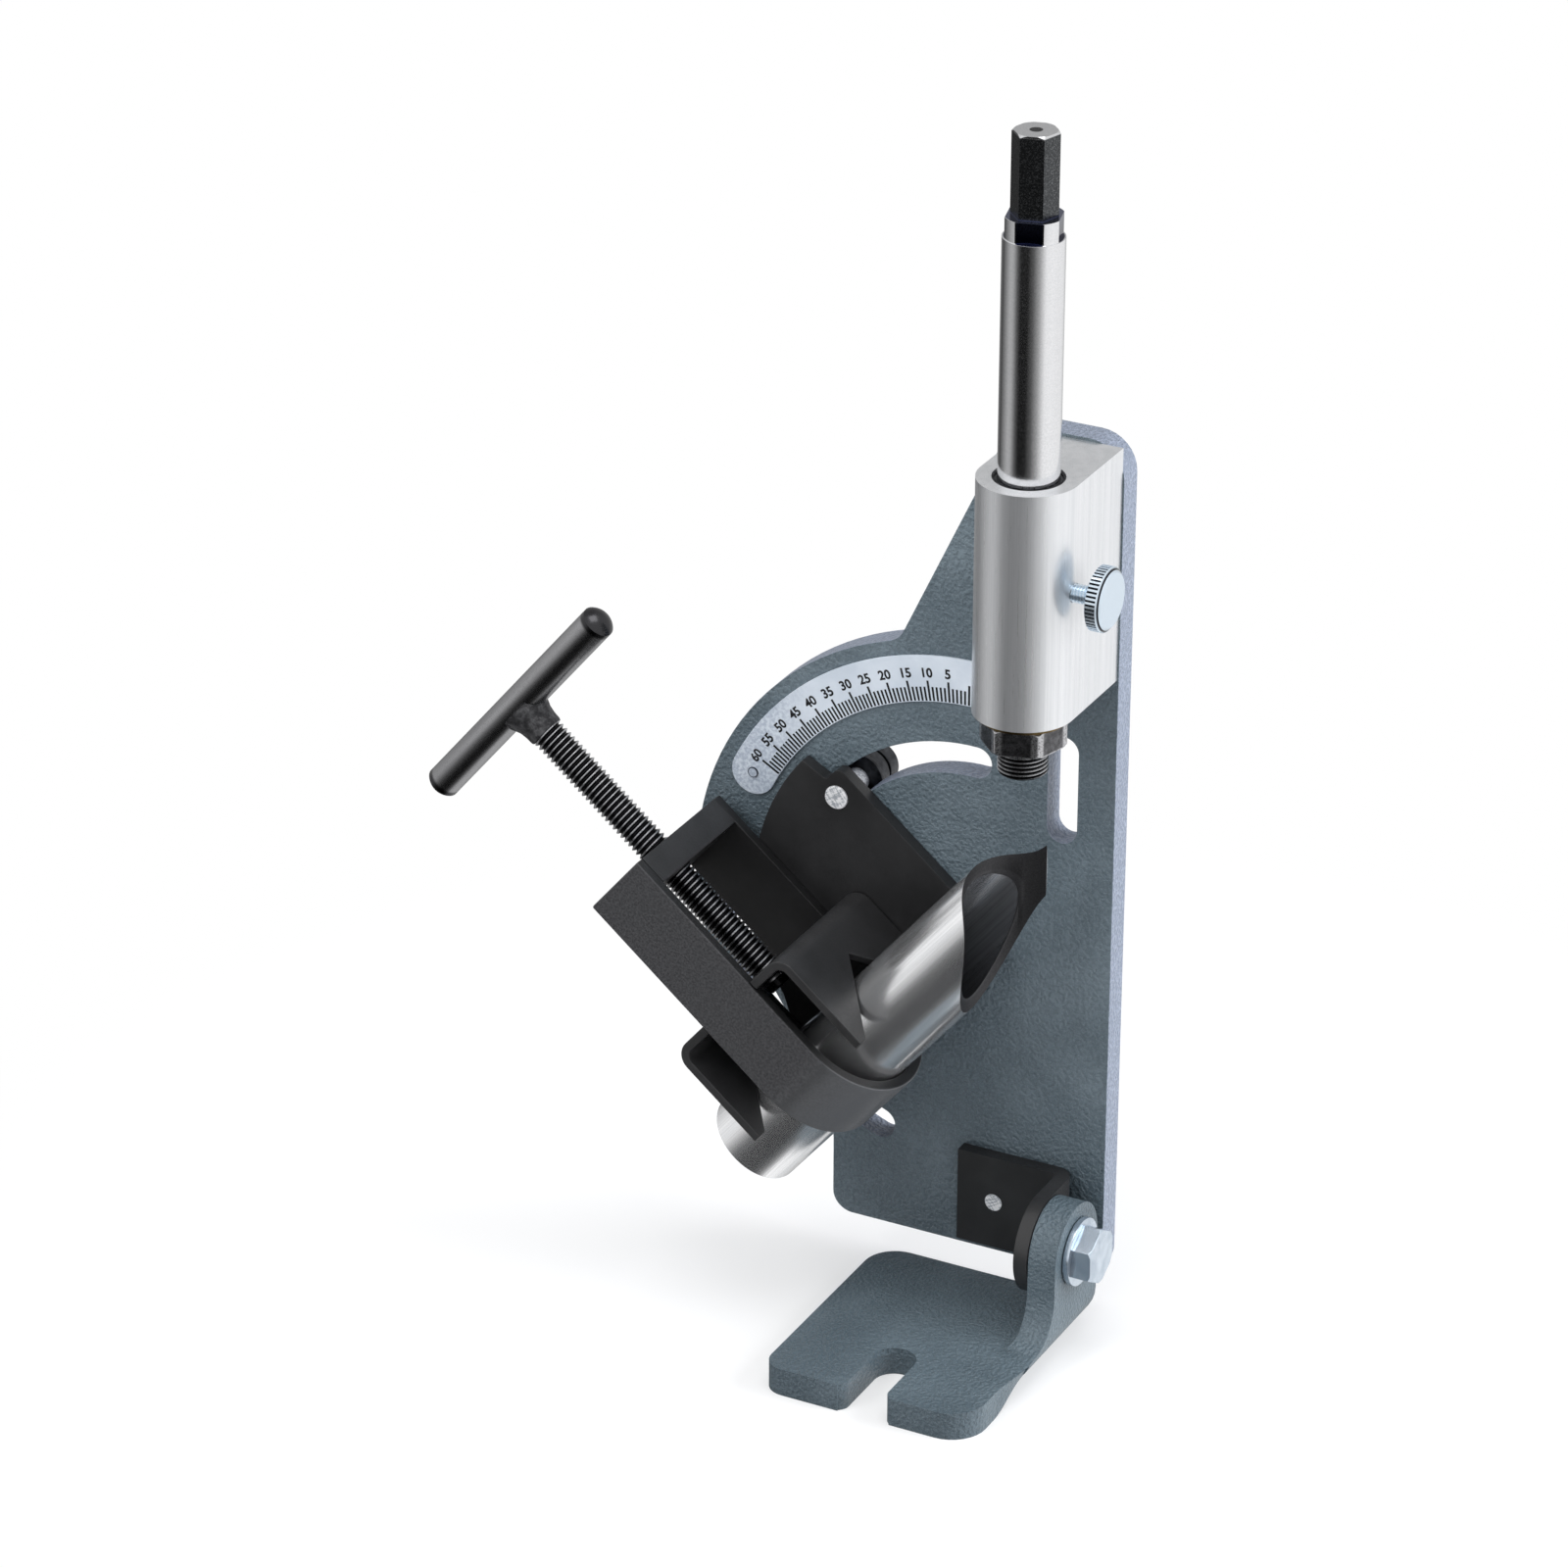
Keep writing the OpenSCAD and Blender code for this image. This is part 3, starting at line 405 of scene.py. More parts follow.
def pale_anodised():
    finish = Finish("scale_aluminium", metallic=0.12, specular_ior_level=0.5)
    cloud = finish.noise(finish.place(), 60, 4)
    fleck = finish.noise(finish.place(), 900, 3)
    base = finish.shade(cloud, 0.3, 0.7, (206, 216, 227), (224, 232, 241))
    # The end by the 60 mark is rubbed dull and mottled
    worn = finish.between(finish.along(EAST), -0.052, -0.074) * finish.between(fleck, 0.35, 0.65)
    finish.give("Base Color", finish.mix(worn * 0.5, base, (126, 142, 168)))
    finish.give("Roughness", finish.between(cloud, 0.3, 0.7, 0.3, 0.42))
    finish.give("Normal", finish.bump(fleck, 0.00003, 0.3))
    return finish


def ringed_rivet():
    """The strip's own metal, with a dark line where the head meets the strip."""
    finish = Finish("rivet_aluminium", metallic=0.2)
    left, right = (finish.off_axis(rivet, NORTH) for rivet in RIVETS)
    seam = finish.between(left.maths("MINIMUM", right), RIVET_R - 0.00045, RIVET_R - 0.0002)
    fleck = finish.noise(finish.place(), 900, 3)
    pale = finish.shade(fleck, 0.3, 0.7, (176, 187, 202), (214, 223, 234))
    finish.give("Base Color", finish.mix(seam, pale, (26, 32, 48)))
    finish.give("Roughness", finish.between(fleck, 0.3, 0.7, 0.3, 0.42))
    finish.give("Normal", finish.bump(fleck, 0.00003, 0.3))
    return finish


def printed_ink():
    finish = Finish("printed_ink", specular_ior_level=0.4)
    speck = finish.noise(finish.place(), 3000, 2)
    finish.give("Base Color", finish.shade(speck, 0.4, 0.8, (12, 13, 16), (30, 31, 36)))
    finish.give("Roughness", finish.between(speck, 0.3, 0.7, 0.45, 0.6))
    return finish


def laid(piece, matrix):
    """Puts a piece in its place for good."""
    piece.matrix_world = matrix
    pick_up(piece)
    bpy.ops.object.transform_apply(location=True, rotation=True, scale=True)


def swung(piece, angle):
    """Turns a piece about the pivot, left by an angle from upright, for good."""
    laid(piece, Matrix.Translation(PIVOT) @ Matrix.Rotation(-radians(angle), 4, "Y")
         @ Matrix.Translation(-PIVOT))


def copied(piece):
    twin = bpy.data.objects.new(piece.name + "_copy", piece.data.copy())
    bpy.context.scene.collection.objects.link(twin)
    return twin


def joined(name, parts):
    """Several meshes made one piece."""
    bpy.ops.object.select_all(action="DESELECT")
    for part in parts:
        part.select_set(True)
    bpy.context.view_layer.objects.active = parts[0]
    bpy.ops.object.join()
    parts[0].name = name
    return parts[0]


def faced_out():
    """Turns all faces of the open piece outwards and leaves edit mode."""
    bpy.ops.mesh.select_all(action="SELECT")
    bpy.ops.mesh.normals_make_consistent(inside=False)
    bpy.ops.object.mode_set(mode="OBJECT")


def inked(piece):
    """A flat stroke on the strip's face given the ink's thickness."""
    opened(piece)
    bpy.ops.mesh.extrude_region_move(TRANSFORM_OT_translate={"value": (0, -INK, 0)})
    faced_out()


def printed_tick(name, outer, width):
    """A thin stroke that stands straight up from the pivot."""
    bpy.ops.object.select_all(action="DESELECT")
    bpy.ops.mesh.primitive_plane_add(size=1, rotation=(radians(90), 0, 0),
                                     location=(0, FACE_Y, PIVOT.z + (outer + TICK_FOOT) / 2))
    tick = bpy.context.object
    tick.name = name
    tick.scale = (width, outer - TICK_FOOT, 1)
    bpy.ops.object.transform_apply(location=True, rotation=True, scale=True)
    inked(tick)
    return tick


strip = eased(copy_of("scale_plate", "scale_strip"), 0.0002)
fitted(strip, "frame", pale_anodised(), "scale_aluminium", "scale_plate")
rivets = eased(copy_of("scale_rivets", "scale_rivet_heads"), 0.00015, 2)
fitted(rivets, "frame", ringed_rivet(), "rivet_aluminium", "scale_rivets")

long_tick = printed_tick("long_tick", LONG_TICK, LONG_WIDE)
short_tick = printed_tick("short_tick", SHORT_TICK, SHORT_WIDE)
marks = []
for degree in range(LAST_MARK + 1):
    mark = copied(long_tick if degree % MARK_EACH == 0 else short_tick)
    swung(mark, degree)
    marks.append(mark)
bpy.data.objects.remove(long_tick)
bpy.data.objects.remove(short_tick)
for degree in range(MARK_EACH, LAST_MARK + 1, MARK_EACH):
    bpy.ops.object.select_all(action="DESELECT")
    bpy.ops.object.text_add()
    number = bpy.context.object
    number.data.body = str(degree)
    number.data.align_x = "CENTER"
    number.data.offset = DIGIT_WEIGHT
    number.data.resolution_u = 4
    bpy.ops.object.convert(target="MESH")
    number = bpy.context.object
    size = DIGIT_TALL / number.dimensions.y
    foot_y = min(v.co.y for v in number.data.vertices)
    laid(number, Matrix.Translation((0, FACE_Y, PIVOT.z + DIGIT_FOOT))
         @ Matrix.Rotation(radians(90), 4, "X") @ Matrix.Diagonal((size, size, size, 1))
         @ Matrix.Translation((0, -foot_y, 0)))
    inked(number)
    swung(number, degree)
    marks.append(number)
scale_print = joined("scale_print", marks)
fitted(scale_print, "frame", printed_ink(), "scale_aluminium")

# ---------------------------------------------------------------------------
# Arbor housing: a length of extruded aluminium with a round nose, bored for
# the arbor, brushed along its height and screwed on from the plate's back. A
# dark bush lines the bore at each end.

ARBOR = Vector((0.0336, -0.013, 0))


def brushed_aluminium():
    finish = Finish("housing_aluminium", metallic=0.86)
    streaks = finish.noise(finish.drawn(EAST, NORTH, UP, 2200, 22), 1, 4, 0.6)
    bands = finish.noise(finish.drawn(EAST, NORTH, UP, 420, 5), 1, 2)
    grit = finish.noise(finish.place(), 1900, 2)
    base = finish.shade(bands, 0.25, 0.75, (224, 226, 228), (236, 237, 239))
    finish.give("Base Color", finish.mix(finish.between(streaks, 0.4, 0.7) * 0.25, base,
                                         (196, 199, 203)))
    finish.give("Roughness", finish.between(streaks, 0.3, 0.75, 0.27, 0.34))
    combed = finish.bump(streaks, 0.000018, 0.35)
    finish.give("Normal", finish.bump(grit, 0.00002, 0.3, combed))
    return finish


def black_oxide():
    finish = Finish("black_oxide", metallic=0.85)
    cloud = finish.noise(finish.place(), 300, 4)
    pits = finish.noise(finish.place(), 2400, 2)
    finish.give("Base Color", finish.shade(cloud, 0.3, 0.7, (34, 35, 38), (66, 68, 72)))
    finish.give("Roughness", finish.between(pits, 0.3, 0.7, 0.32, 0.5))
    finish.give("Normal", finish.bump(pits, 0.00005, 0.5))
    return finish


housing = eased(copy_of("arbor_housing", "bearing_housing"), 0.0004)
fitted(housing, "frame", brushed_aluminium(), "housing_aluminium", "arbor_housing")
oxide = black_oxide()
for node, name in (("upper_bush", "upper_bush_ring"), ("lower_bush", "lower_bush_ring"),
                   ("housing_screws", "housing_cap_screws")):
    part = eased(copy_of(node, name), 0.00015)
    fitted(part, "frame", oxide, "black_oxide", node)

# ---------------------------------------------------------------------------
# Arbor: a ground 19 mm shaft with wrench flats and a hexagon drive on top. Its
# lower end is threaded for the saw, and a black nut locks the saw's hub. A
# bronze washer takes the thrust between the nut and the housing.

NUT_LOW, NUT_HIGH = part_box("arbor_nut")
THREAD_TOP = NUT_LOW.z
THREAD_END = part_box("arbor_shaft")[0].z
# The plain shaft ends just inside the nut, and its threaded piece reaches past that
SHAFT_END, THREAD_LONG = THREAD_TOP + 0.0003, THREAD_TOP - THREAD_END + 0.0008
SAW_THREAD_R, SAW_PITCH, SAW_THREAD_DEEP = 0.0079375, 0.001411, 0.00085
FLAT_FOOT, HEX_FOOT, HEX_TOP = 0.3802, 0.3869, 0.413
# Nearer the axis than the first the shaft is flat, past the second it is round
FLAT_OUT, ROUND_OUT, CENTRE_R = 0.00898, 0.00916, 0.002
# A thread's ridge as shares of its pitch: its depth, half its crest and foot, how
# far down it starts, how deep its foot is sunk, and what core and trim are larger
RIDGE_DEEP, HALF_CREST, HALF_FOOT = 0.6, 0.07, 0.485
START_DOWN, SUNK, LARGER = 0.6, 0.05, 0.02


def ground_steel():
    """Bright on the round, with a painted dark blue reflection in the wrench flats, and black on
    the hexagon.
    """
    finish = Finish("arbor_steel", metallic=1.0)
    grind = finish.noise(finish.drawn(EAST, NORTH, UP, 50, 1500), 1, 3)
    grit = finish.noise(finish.place(), 1900, 3)
    bright = finish.shade(grit, 0.3, 0.7, (226, 227, 229), (238, 238, 240))
    bright = finish.mix(finish.between(grind, 0.45, 0.7) * 0.12, bright, (196, 198, 202))
    out = finish.off_axis(ARBOR, UP)
    height = finish.along(UP)
    flats = (1 - finish.between(out, FLAT_OUT, ROUND_OUT)) \
        * finish.between(height, FLAT_FOOT - 0.003, FLAT_FOOT - 0.0026)
    # Painted reflection: the wrench flats are given a dark blue, darkest at their foot
    painted_blue_reflection = finish.shade(height, FLAT_FOOT + 0.001, HEX_FOOT, (32, 37, 66), (84, 89, 112))
    drive = finish.between(height, HEX_FOOT + 0.0001, HEX_FOOT + 0.0004)
    worn_rim = finish.between(height, HEX_TOP - 0.0009, HEX_TOP - 0.0006)
    black = finish.shade(grit, 0.45, 0.8, (66, 68, 70), (128, 130, 132))
    colour = finish.mix(drive, finish.mix(flats, bright, painted_blue_reflection), black)
    colour = finish.mix(worn_rim * 0.8, colour, bright)
    # Painted shade: a dark disc in the middle of the top, as the shade of a centre hole
    painted_centre_hole_shade = 1 - finish.between(out, CENTRE_R - 0.0002, CENTRE_R + 0.0002)
    finish.give("Base Color", finish.mix(painted_centre_hole_shade * worn_rim, colour, (30, 30, 32)))
    blackened = drive * (1 - worn_rim)
    finish.give("Roughness", finish.between(grit, 0.3, 0.75, 0.13, 0.17) + blackened * 0.12)
    finish.give("Normal", finish.bump(grit * blackened * 8 + grit, 0.000008, 0.3))
    return finish


def dark_steel(name):
    """Dark steel's sheen and grit, before it has its colour."""
    finish = Finish(name, metallic=1.0)
    finish.cloud = finish.noise(finish.place(), 420, 4)
    finish.grit = finish.noise(finish.place(), 2600, 2)
    finish.give("Roughness", finish.between(finish.grit, 0.3, 0.7, 0.24, 0.38))
    finish.give("Normal", finish.bump(finish.grit, 0.00002, 0.4))
    return finish


def rubbed_thread(name, point, direction, crest, depth):
    """Dark steel, with a thread's crests rubbed bright and its valleys given painted shade."""
    finish = dark_steel(name)
    rub = finish.between(finish.off_axis(point, direction), crest - 0.55 * depth,
                         crest - 0.08 * depth)
    # Painted shade: the thread's valleys are made near black; the bright crests are wear
    painted_valley_shade = finish.mix(finish.cloud, (22, 22, 23), (46, 46, 48))
    ridge = finish.mix(finish.grit, (150, 151, 153), (216, 217, 220))
    finish.give("Base Color", finish.mix(rub, painted_valley_shade, ridge))
    return finish


def rubbed_nut():
    """Dark steel, bright where its corners and its two rims are rubbed."""
    finish = dark_steel("rubbed_nut_steel")
    widest = max(NUT_HIGH.x - NUT_LOW.x, NUT_HIGH.y - NUT_LOW.y) / 2
    height = finish.along(UP)
    corner = finish.between(finish.off_axis(ARBOR, UP), widest - 0.0006, widest - 0.0002)
    rims = finish.between(height, NUT_LOW.z + 0.0006, NUT_LOW.z + 0.0003) \
        + finish.between(height, NUT_HIGH.z - 0.0006, NUT_HIGH.z - 0.0003)
    scuff = finish.noise(finish.place(), 1500, 3)
    rub = corner.maths("MAXIMUM", rims) * finish.between(scuff, 0.3, 0.5)
    dark = finish.shade(finish.cloud, 0.32, 0.72, (78, 78, 80), (116, 116, 119))
    finish.give("Base Color", finish.mix(rub * 0.8, dark, (214, 214, 217)))
    return finish


def oiled_bronze():
    finish = Finish("oiled_bronze", metallic=1.0)
    cloud = finish.noise(finish.place(), 200, 4)
    finish.give("Base Color", finish.shade(cloud, 0.3, 0.7, (84, 70, 48), (122, 104, 70)))
    finish.give("Roughness", finish.between(cloud, 0.3, 0.7, 0.28, 0.42))
    finish.give("Normal", finish.bump(finish.noise(finish.place(), 1800, 2), 0.00003, 0.4))
    return finish


def turned_bar(name, radius, length, chamfer, sides=64):
    """A bar from z = 0 up, with both ends chamfered on the lathe."""
    bpy.ops.object.select_all(action="DESELECT")
    bpy.ops.mesh.primitive_cylinder_add(vertices=sides, radius=radius, depth=length,
                                        location=(0, 0, length / 2))
    bar = bpy.context.object
    bar.name = name
    bpy.ops.object.transform_apply(location=True)
    pick_up(bar)
    bevel = bar.modifiers.new("chamfer", "BEVEL")
    bevel.width, bevel.segments = chamfer, 1
    bevel.limit_method, bevel.angle_limit = "ANGLE", radians(60)
    bpy.ops.object.modifier_apply(modifier=bevel.name)
    return bar


def wound_thread(name, radius, pitch, length, chamfer, steps):
    """A core with one closed ridge wound up it from z = 0 and cut off square."""
    root = radius - RIDGE_DEEP * pitch
    core = turned_bar(name, root + LARGER * pitch, length, min(chamfer, 0.3 * root))
    bpy.ops.object.select_all(action="DESELECT")
    bpy.ops.mesh.primitive_plane_add(size=1)
    ridge = bpy.context.object
    # A square turned into the ridge's section, which is then wound up as a screw
    for corner in ridge.data.vertices:
        outer, upper = corner.co.x > 0, corner.co.y > 0
        out = radius if outer else root - SUNK * pitch
        half = HALF_CREST if outer else HALF_FOOT
        corner.co = (out, 0, ((half if upper else -half) - START_DOWN) * pitch)
    opened(ridge)
    bpy.ops.mesh.delete(type="ONLY_FACE")
    bpy.ops.object.mode_set(mode="OBJECT")
    wind = ridge.modifiers.new("wind", "SCREW")
    wind.axis, wind.angle, wind.screw_offset = "Z", 2 * pi, pitch
    wind.iterations, wind.steps, wind.render_steps = int(length / pitch) + 2, steps, steps
    wind.use_merge_vertices, wind.use_smooth_shade = False, True
    bpy.ops.object.modifier_apply(modifier=wind.name)
    # Both open ends get a face
    bpy.ops.object.mode_set(mode="EDIT")
    for low_end in (True, False):
        bpy.ops.mesh.select_mode(type="VERT")
        bpy.ops.mesh.select_all(action="DESELECT")
        bpy.ops.mesh.select_non_manifold()
        bpy.ops.object.mode_set(mode="OBJECT")
        for corner in ridge.data.vertices:
            if corner.select and (corner.co.z < length / 2) != low_end:
                corner.select = False
        for edge in ridge.data.edges:
            edge.select = all(ridge.data.vertices[v].select for v in edge.vertices)
        bpy.ops.object.mode_set(mode="EDIT")
        bpy.ops.mesh.edge_face_add()
    faced_out()
    trim = turned_bar("trim", radius + LARGER * pitch, length, chamfer, 48)
    boolean(ridge, trim, "INTERSECT")
    thread = joined(name, [core, ridge])
    pick_up(thread)
    bpy.ops.object.shade_smooth_by_angle(angle=radians(24))
    return thread


shaft = copy_of("arbor_shaft", "ground_arbor")
opened(shaft)
bpy.ops.mesh.bisect(plane_co=(0, 0, SHAFT_END), plane_no=UP, use_fill=True, clear_inner=True)
bpy.ops.object.mode_set(mode="OBJECT")
eased(shaft, 0.00022, 2, 28)
fitted(shaft, "arbor", ground_steel(), "arbor_steel", "arbor_shaft")
saw_thread = wound_thread("saw_thread", SAW_THREAD_R, SAW_PITCH, THREAD_LONG, 0.0008, 48)
laid(saw_thread, Matrix.Translation((ARBOR.x, ARBOR.y, THREAD_END)))
fitted(saw_thread, "arbor",
       rubbed_thread("saw_thread_steel", ARBOR, UP, SAW_THREAD_R, SAW_THREAD_DEEP), "arbor_steel")
lock_nut = eased(copy_of("arbor_nut", "saw_lock_nut"), 0.00035, 2, 18)
fitted(lock_nut, "arbor", rubbed_nut(), "black_oxide", "arbor_nut")
bronze = oiled_bronze()
thrust = eased(copy_of("thrust_washer", "bronze_thrust_washer"), 0.0002)
fitted(thrust, "arbor_carrier", bronze, "brass", "thrust_washer")

# ---------------------------------------------------------------------------
# Thumb screw: a turned and knurled head on an M6 thread, zinc plated. It presses
# a small brass pad on the shaft to hold the arbor at its height.

THUMB_LOW, THUMB_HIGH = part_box("thumb_screw")
HEAD_THICK, HEAD_R, HEAD_LAP = 0.0055, 0.0102, 0.0004
SHANK_R, SHANK_PITCH = 0.003, 0.001
HEAD_X = THUMB_HIGH.x - HEAD_THICK
THUMB_Z = (THUMB_LOW.z + THUMB_HIGH.z) / 2
KNURLS, KNURL_DEEP = 48, 0.0006
# The head's rings from its back face on, each a rise and a radius
HEAD_BACK = HEAD_R - 0.0014
HEAD_RINGS = ((0.0007, HEAD_R - 0.0002), (0.0001, HEAD_R), (HEAD_THICK - 0.0022, HEAD_R),
              (0.0002, HEAD_R - 0.00015), (0.0012, HEAD_R - 0.0016))
LIE_RIGHT = Matrix.Rotation(radians(90), 4, "Y")


def drawn_up(piece, rings):
    """The open ring drawn up through more rings, each a rise and a radius."""
    for rise, radius in rings:
        bpy.ops.mesh.extrude_region_move(TRANSFORM_OT_translate={"value": (0, 0, rise)})
        bpy.ops.object.mode_set(mode="OBJECT")
        now = max(v.co.xy.length for v in piece.data.vertices if v.select)
        bpy.ops.object.mode_set(mode="EDIT")
        bpy.ops.transform.resize(value=(radius / now, radius / now, 1))


def knurled_zinc():
    """Zinc plate, with grime and painted shade dark in the knurl's grooves."""
    finish = bright_zinc("knurled_zinc")
    out = finish.off_axis((0, ARBOR.y, THUMB_Z), EAST)
    side = finish.between(finish.along(EAST), HEAD_X + 0.0006, HEAD_X + 0.0009)
    # Grime and painted shade: the knurl's grooves are made near black
    grime_and_shade_in_grooves = (1 - finish.between(out, HEAD_R - KNURL_DEEP, HEAD_R - 0.0002)) \
        * finish.between(out, HEAD_R - 0.0010, HEAD_R - 0.0009) * side
    grit = finish.noise(finish.place(), 1400, 2)
    pale = finish.mix(grit, (208, 222, 234), (218, 230, 240))
    finish.give("Base Color", finish.mix(grime_and_shade_in_grooves, pale, (22, 26, 32)))
    return finish


bpy.ops.object.select_all(action="DESELECT")
bpy.ops.mesh.primitive_circle_add(vertices=2 * KNURLS, radius=HEAD_BACK, fill_type="NGON")
head = bpy.context.object
opened(head)
drawn_up(head, HEAD_RINGS)
bpy.ops.mesh.inset(thickness=0.0004, depth=0.0)
bpy.ops.mesh.select_all(action="SELECT")
bpy.ops.mesh.normals_make_consistent(inside=False)
# Every other face round the rim is sunk, which leaves the knurl
bpy.ops.mesh.select_mode(type="FACE")
bpy.ops.mesh.select_all(action="DESELECT")
bpy.ops.object.mode_set(mode="OBJECT")
band = [f for f in head.data.polygons
        if abs(f.normal.z) < 0.1 and f.center.xy.length > HEAD_R - 0.0003 and f.area > 0.0000005]
band.sort(key=lambda f: Vector((1, 0)).angle_signed(f.center.xy, 0.0))
for face in band[::2]:
    face.select = True
bpy.ops.object.mode_set(mode="EDIT")
bpy.ops.mesh.inset(thickness=0.00006, depth=-KNURL_DEEP, use_individual=True)
bpy.ops.mesh.select_mode(type="VERT")
bpy.ops.object.mode_set(mode="OBJECT")
pick_up(head)
bpy.ops.object.shade_smooth_by_angle(angle=radians(22))
shank = wound_thread("thumb_shank", SHANK_R, SHANK_PITCH,
                     HEAD_X - THUMB_LOW.x + HEAD_LAP, 0.0005, 28)
laid(head, Matrix.Translation((HEAD_X, ARBOR.y, THUMB_Z)) @ LIE_RIGHT)
laid(shank, Matrix.Translation((THUMB_LOW.x, ARBOR.y, THUMB_Z)) @ LIE_RIGHT)
thumb = joined("knurled_thumb_screw", [head, shank])
fitted(thumb, "thumb", knurled_zinc(), "zinc", "thumb_screw")
pad = eased(copy_of("lock_pad", "brass_lock_pad"), 0.0002)
fitted(pad, "pad", bronze, "brass", "lock_pad")

# ---------------------------------------------------------------------------
# Swivel plate: 4.8 mm steel, coated satin black, with the pointer cut in its
# edge. A shoulder bolt is its pivot, and two studs with round nuts clamp it.

swivel = eased(copy_of("swivel_plate", "swivel_pointer_plate"), 0.0005)
fitted(swivel, "swivel", black, "black_coat", "swivel_plate")
for node, name, width, finish, slot in (
        ("pivot_bolt", "pivot_shoulder_bolt", 0.0004, oxide, "black_oxide"),
        ("pivot_nut", "pivot_lock_nut", 0.0004, oxide, "black_oxide"),
        ("pivot_washer", "pivot_bronze_washer", 0.0002, bronze, "brass"),
        ("clamp_studs", "zinc_clamp_studs", 0.0005, scraped, "zinc"),
        ("clamp_washers", "black_clamp_washers", 0.0003, oxide, "black_oxide"),
        ("clamp_nuts", "grooved_clamp_nuts", 0.0003, oxide, "black_oxide")):
    part = eased(copy_of(node, name), width)
    fitted(part, "swivel", finish, slot, node)

# ---------------------------------------------------------------------------
# Vise strap and end block: a flat bar bent round in a U and welded to a tapped
# block, both coated with the swivel plate that they are fixed to. The vise
# stands out from the pivot at the angle that the pointer reads.

READING = radians(50)
VISE_LEFT, BEND_UP = 0.046, 0.0033
VISE = Matrix.Translation((0, ARBOR.y, PIVOT.z)) @ Matrix.Rotation(-READING, 4, "Y") \
    @ Matrix.Translation((-VISE_LEFT, 0, 0))
ALONG, OUTWARD = (cos(READING), 0, sin(READING)), (-sin(READING), 0, cos(READING))
STRAP_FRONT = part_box("vise_strap")[0].y
STRAP_R = ARBOR.y - STRAP_FRONT
BEND_AXIS = VISE @ Vector((0, 0, BEND_UP))


def handled_black():
    """The same coat, with painted light on the strap's front and round its bend, and painted shade
    elsewhere.
    """
    finish = satin_coat("handled_black_coat")
    bend_level = BEND_AXIS.dot(Vector(OUTWARD))
    # Painted shade: all but the strap's front face are made darker than the coat
    painted_inner_shade = finish.shade(finish.cloud, 0.3, 0.7, (20, 20, 21), (30, 30, 31))
    painted_front_light = finish.shade(finish.grain, 0.3, 0.7, (48, 48, 50), (66, 66, 68))
    # Painted light: the front face, and the outside of the bend low down, are made paler
    rubbed = finish.mix(finish.grain, (66, 67, 69), (90, 91, 93))
    front = finish.between(finish.along(NORTH), STRAP_FRONT + 0.0008, STRAP_FRONT + 0.0002)
    below = finish.between(finish.along(OUTWARD), bend_level + 0.002, bend_level - 0.012)
    outside = finish.between(finish.off_axis(BEND_AXIS, ALONG), STRAP_R - 0.0008, STRAP_R - 0.0002)
    finish.give("Base Color", finish.mix(outside * below, finish.mix(front, painted_inner_shade, painted_front_light), rubbed))
    return finish


strap = eased(copy_of("vise_strap", "vise_bent_strap"), 0.0006)
fitted(strap, "swivel", handled_black(), "black_coat", "vise_strap")
end_block = eased(copy_of("end_block", "vise_end_block"), 0.0004)
fitted(end_block, "swivel", black, "black_coat", "end_block")

# ---------------------------------------------------------------------------
# V jaw: 3 mm steel bent to a channel, with a square notch in each flange that
# bites on the tube. A clip holds it on the screw's turned-down end.

jaw = eased(copy_of("v_jaw", "notched_v_jaw"), 0.0005)
fitted(jaw, "jaw", black, "black_coat", "v_jaw")
gunmetal = dark_steel("gun_steel")
gunmetal.give("Base Color", gunmetal.shade(gunmetal.cloud, 0.32, 0.72,
                                           (112, 112, 115), (140, 140, 143)))
clip = eased(copy_of("jaw_clip", "screw_end_clip"), 0.00015)
fitted(clip, "screw", gunmetal, "gun_steel", "jaw_clip")

# ---------------------------------------------------------------------------
# Clamp screw, tee bar and weld: a 7/16 inch screw in dark steel, with a domed
# cross bar saddled on its head and held by a rough bead of weld.

SCREW_R, SCREW_PITCH, SCREW_DEEP = 0.00555, 0.001814, 0.0011
# Heights up the vise's axis: the jaw's top, the thread's start just above it
# and the tee bar's middle
JAW_TOP, BAR_UP = 0.032675, 0.148
SCREW_FROM = JAW_TOP + 0.0003
NECK_R, NECK_LONG, NECK_DOWN = 0.004, 0.0076, 0.0075
BAR_R, BAR_LONG, BAR_SUNK = 0.00555, 0.096, 0.8
# The bead's rings, each a rise and a radius as a share of the screw's
WELD_RINGS = ((0.0005, 1.08), (0.0022, 1.10), (0.0020, 1.17), (0.0016, 1.32), (0.0010, 1.45))
WELD_LIP, WELD_TALL, WELD_DOWN = 0.0008, 0.0081, 0.0072
WELD_FROM, WELD_CROWN, WELD_CLIMB = 1.03, 0.62, 0.92


def dark_bar_steel():
    finish = Finish("dark_bar_steel", metallic=1.0)
    mill = finish.noise(finish.drawn(OUTWARD, NORTH, ALONG, 300, 12), 1, 3)
    grit = finish.noise(finish.place(), 2200, 3)
    base = finish.shade(mill, 0.25, 0.75, (140, 140, 142), (160, 160, 162))
    base = finish.mix(finish.between(grit, 0.45, 0.8) * 0.3, base, (88, 88, 90))
    # The domed ends get painted shade, darker than the bar
    reach = finish.along(ALONG) - VISE.translation.dot(Vector(ALONG))
    painted_dome_shade = finish.between(reach * reach, (BAR_LONG / 2 - 0.0055) ** 2,
                          (BAR_LONG / 2 - 0.0042) ** 2)
    finish.give("Base Color", finish.mix(painted_dome_shade, base, (62, 62, 64)))
    finish.give("Roughness", finish.between(grit, 0.3, 0.7, 0.22, 0.29))
    finish.give("Normal", finish.bump(grit, 0.00002, 0.35))
    return finish


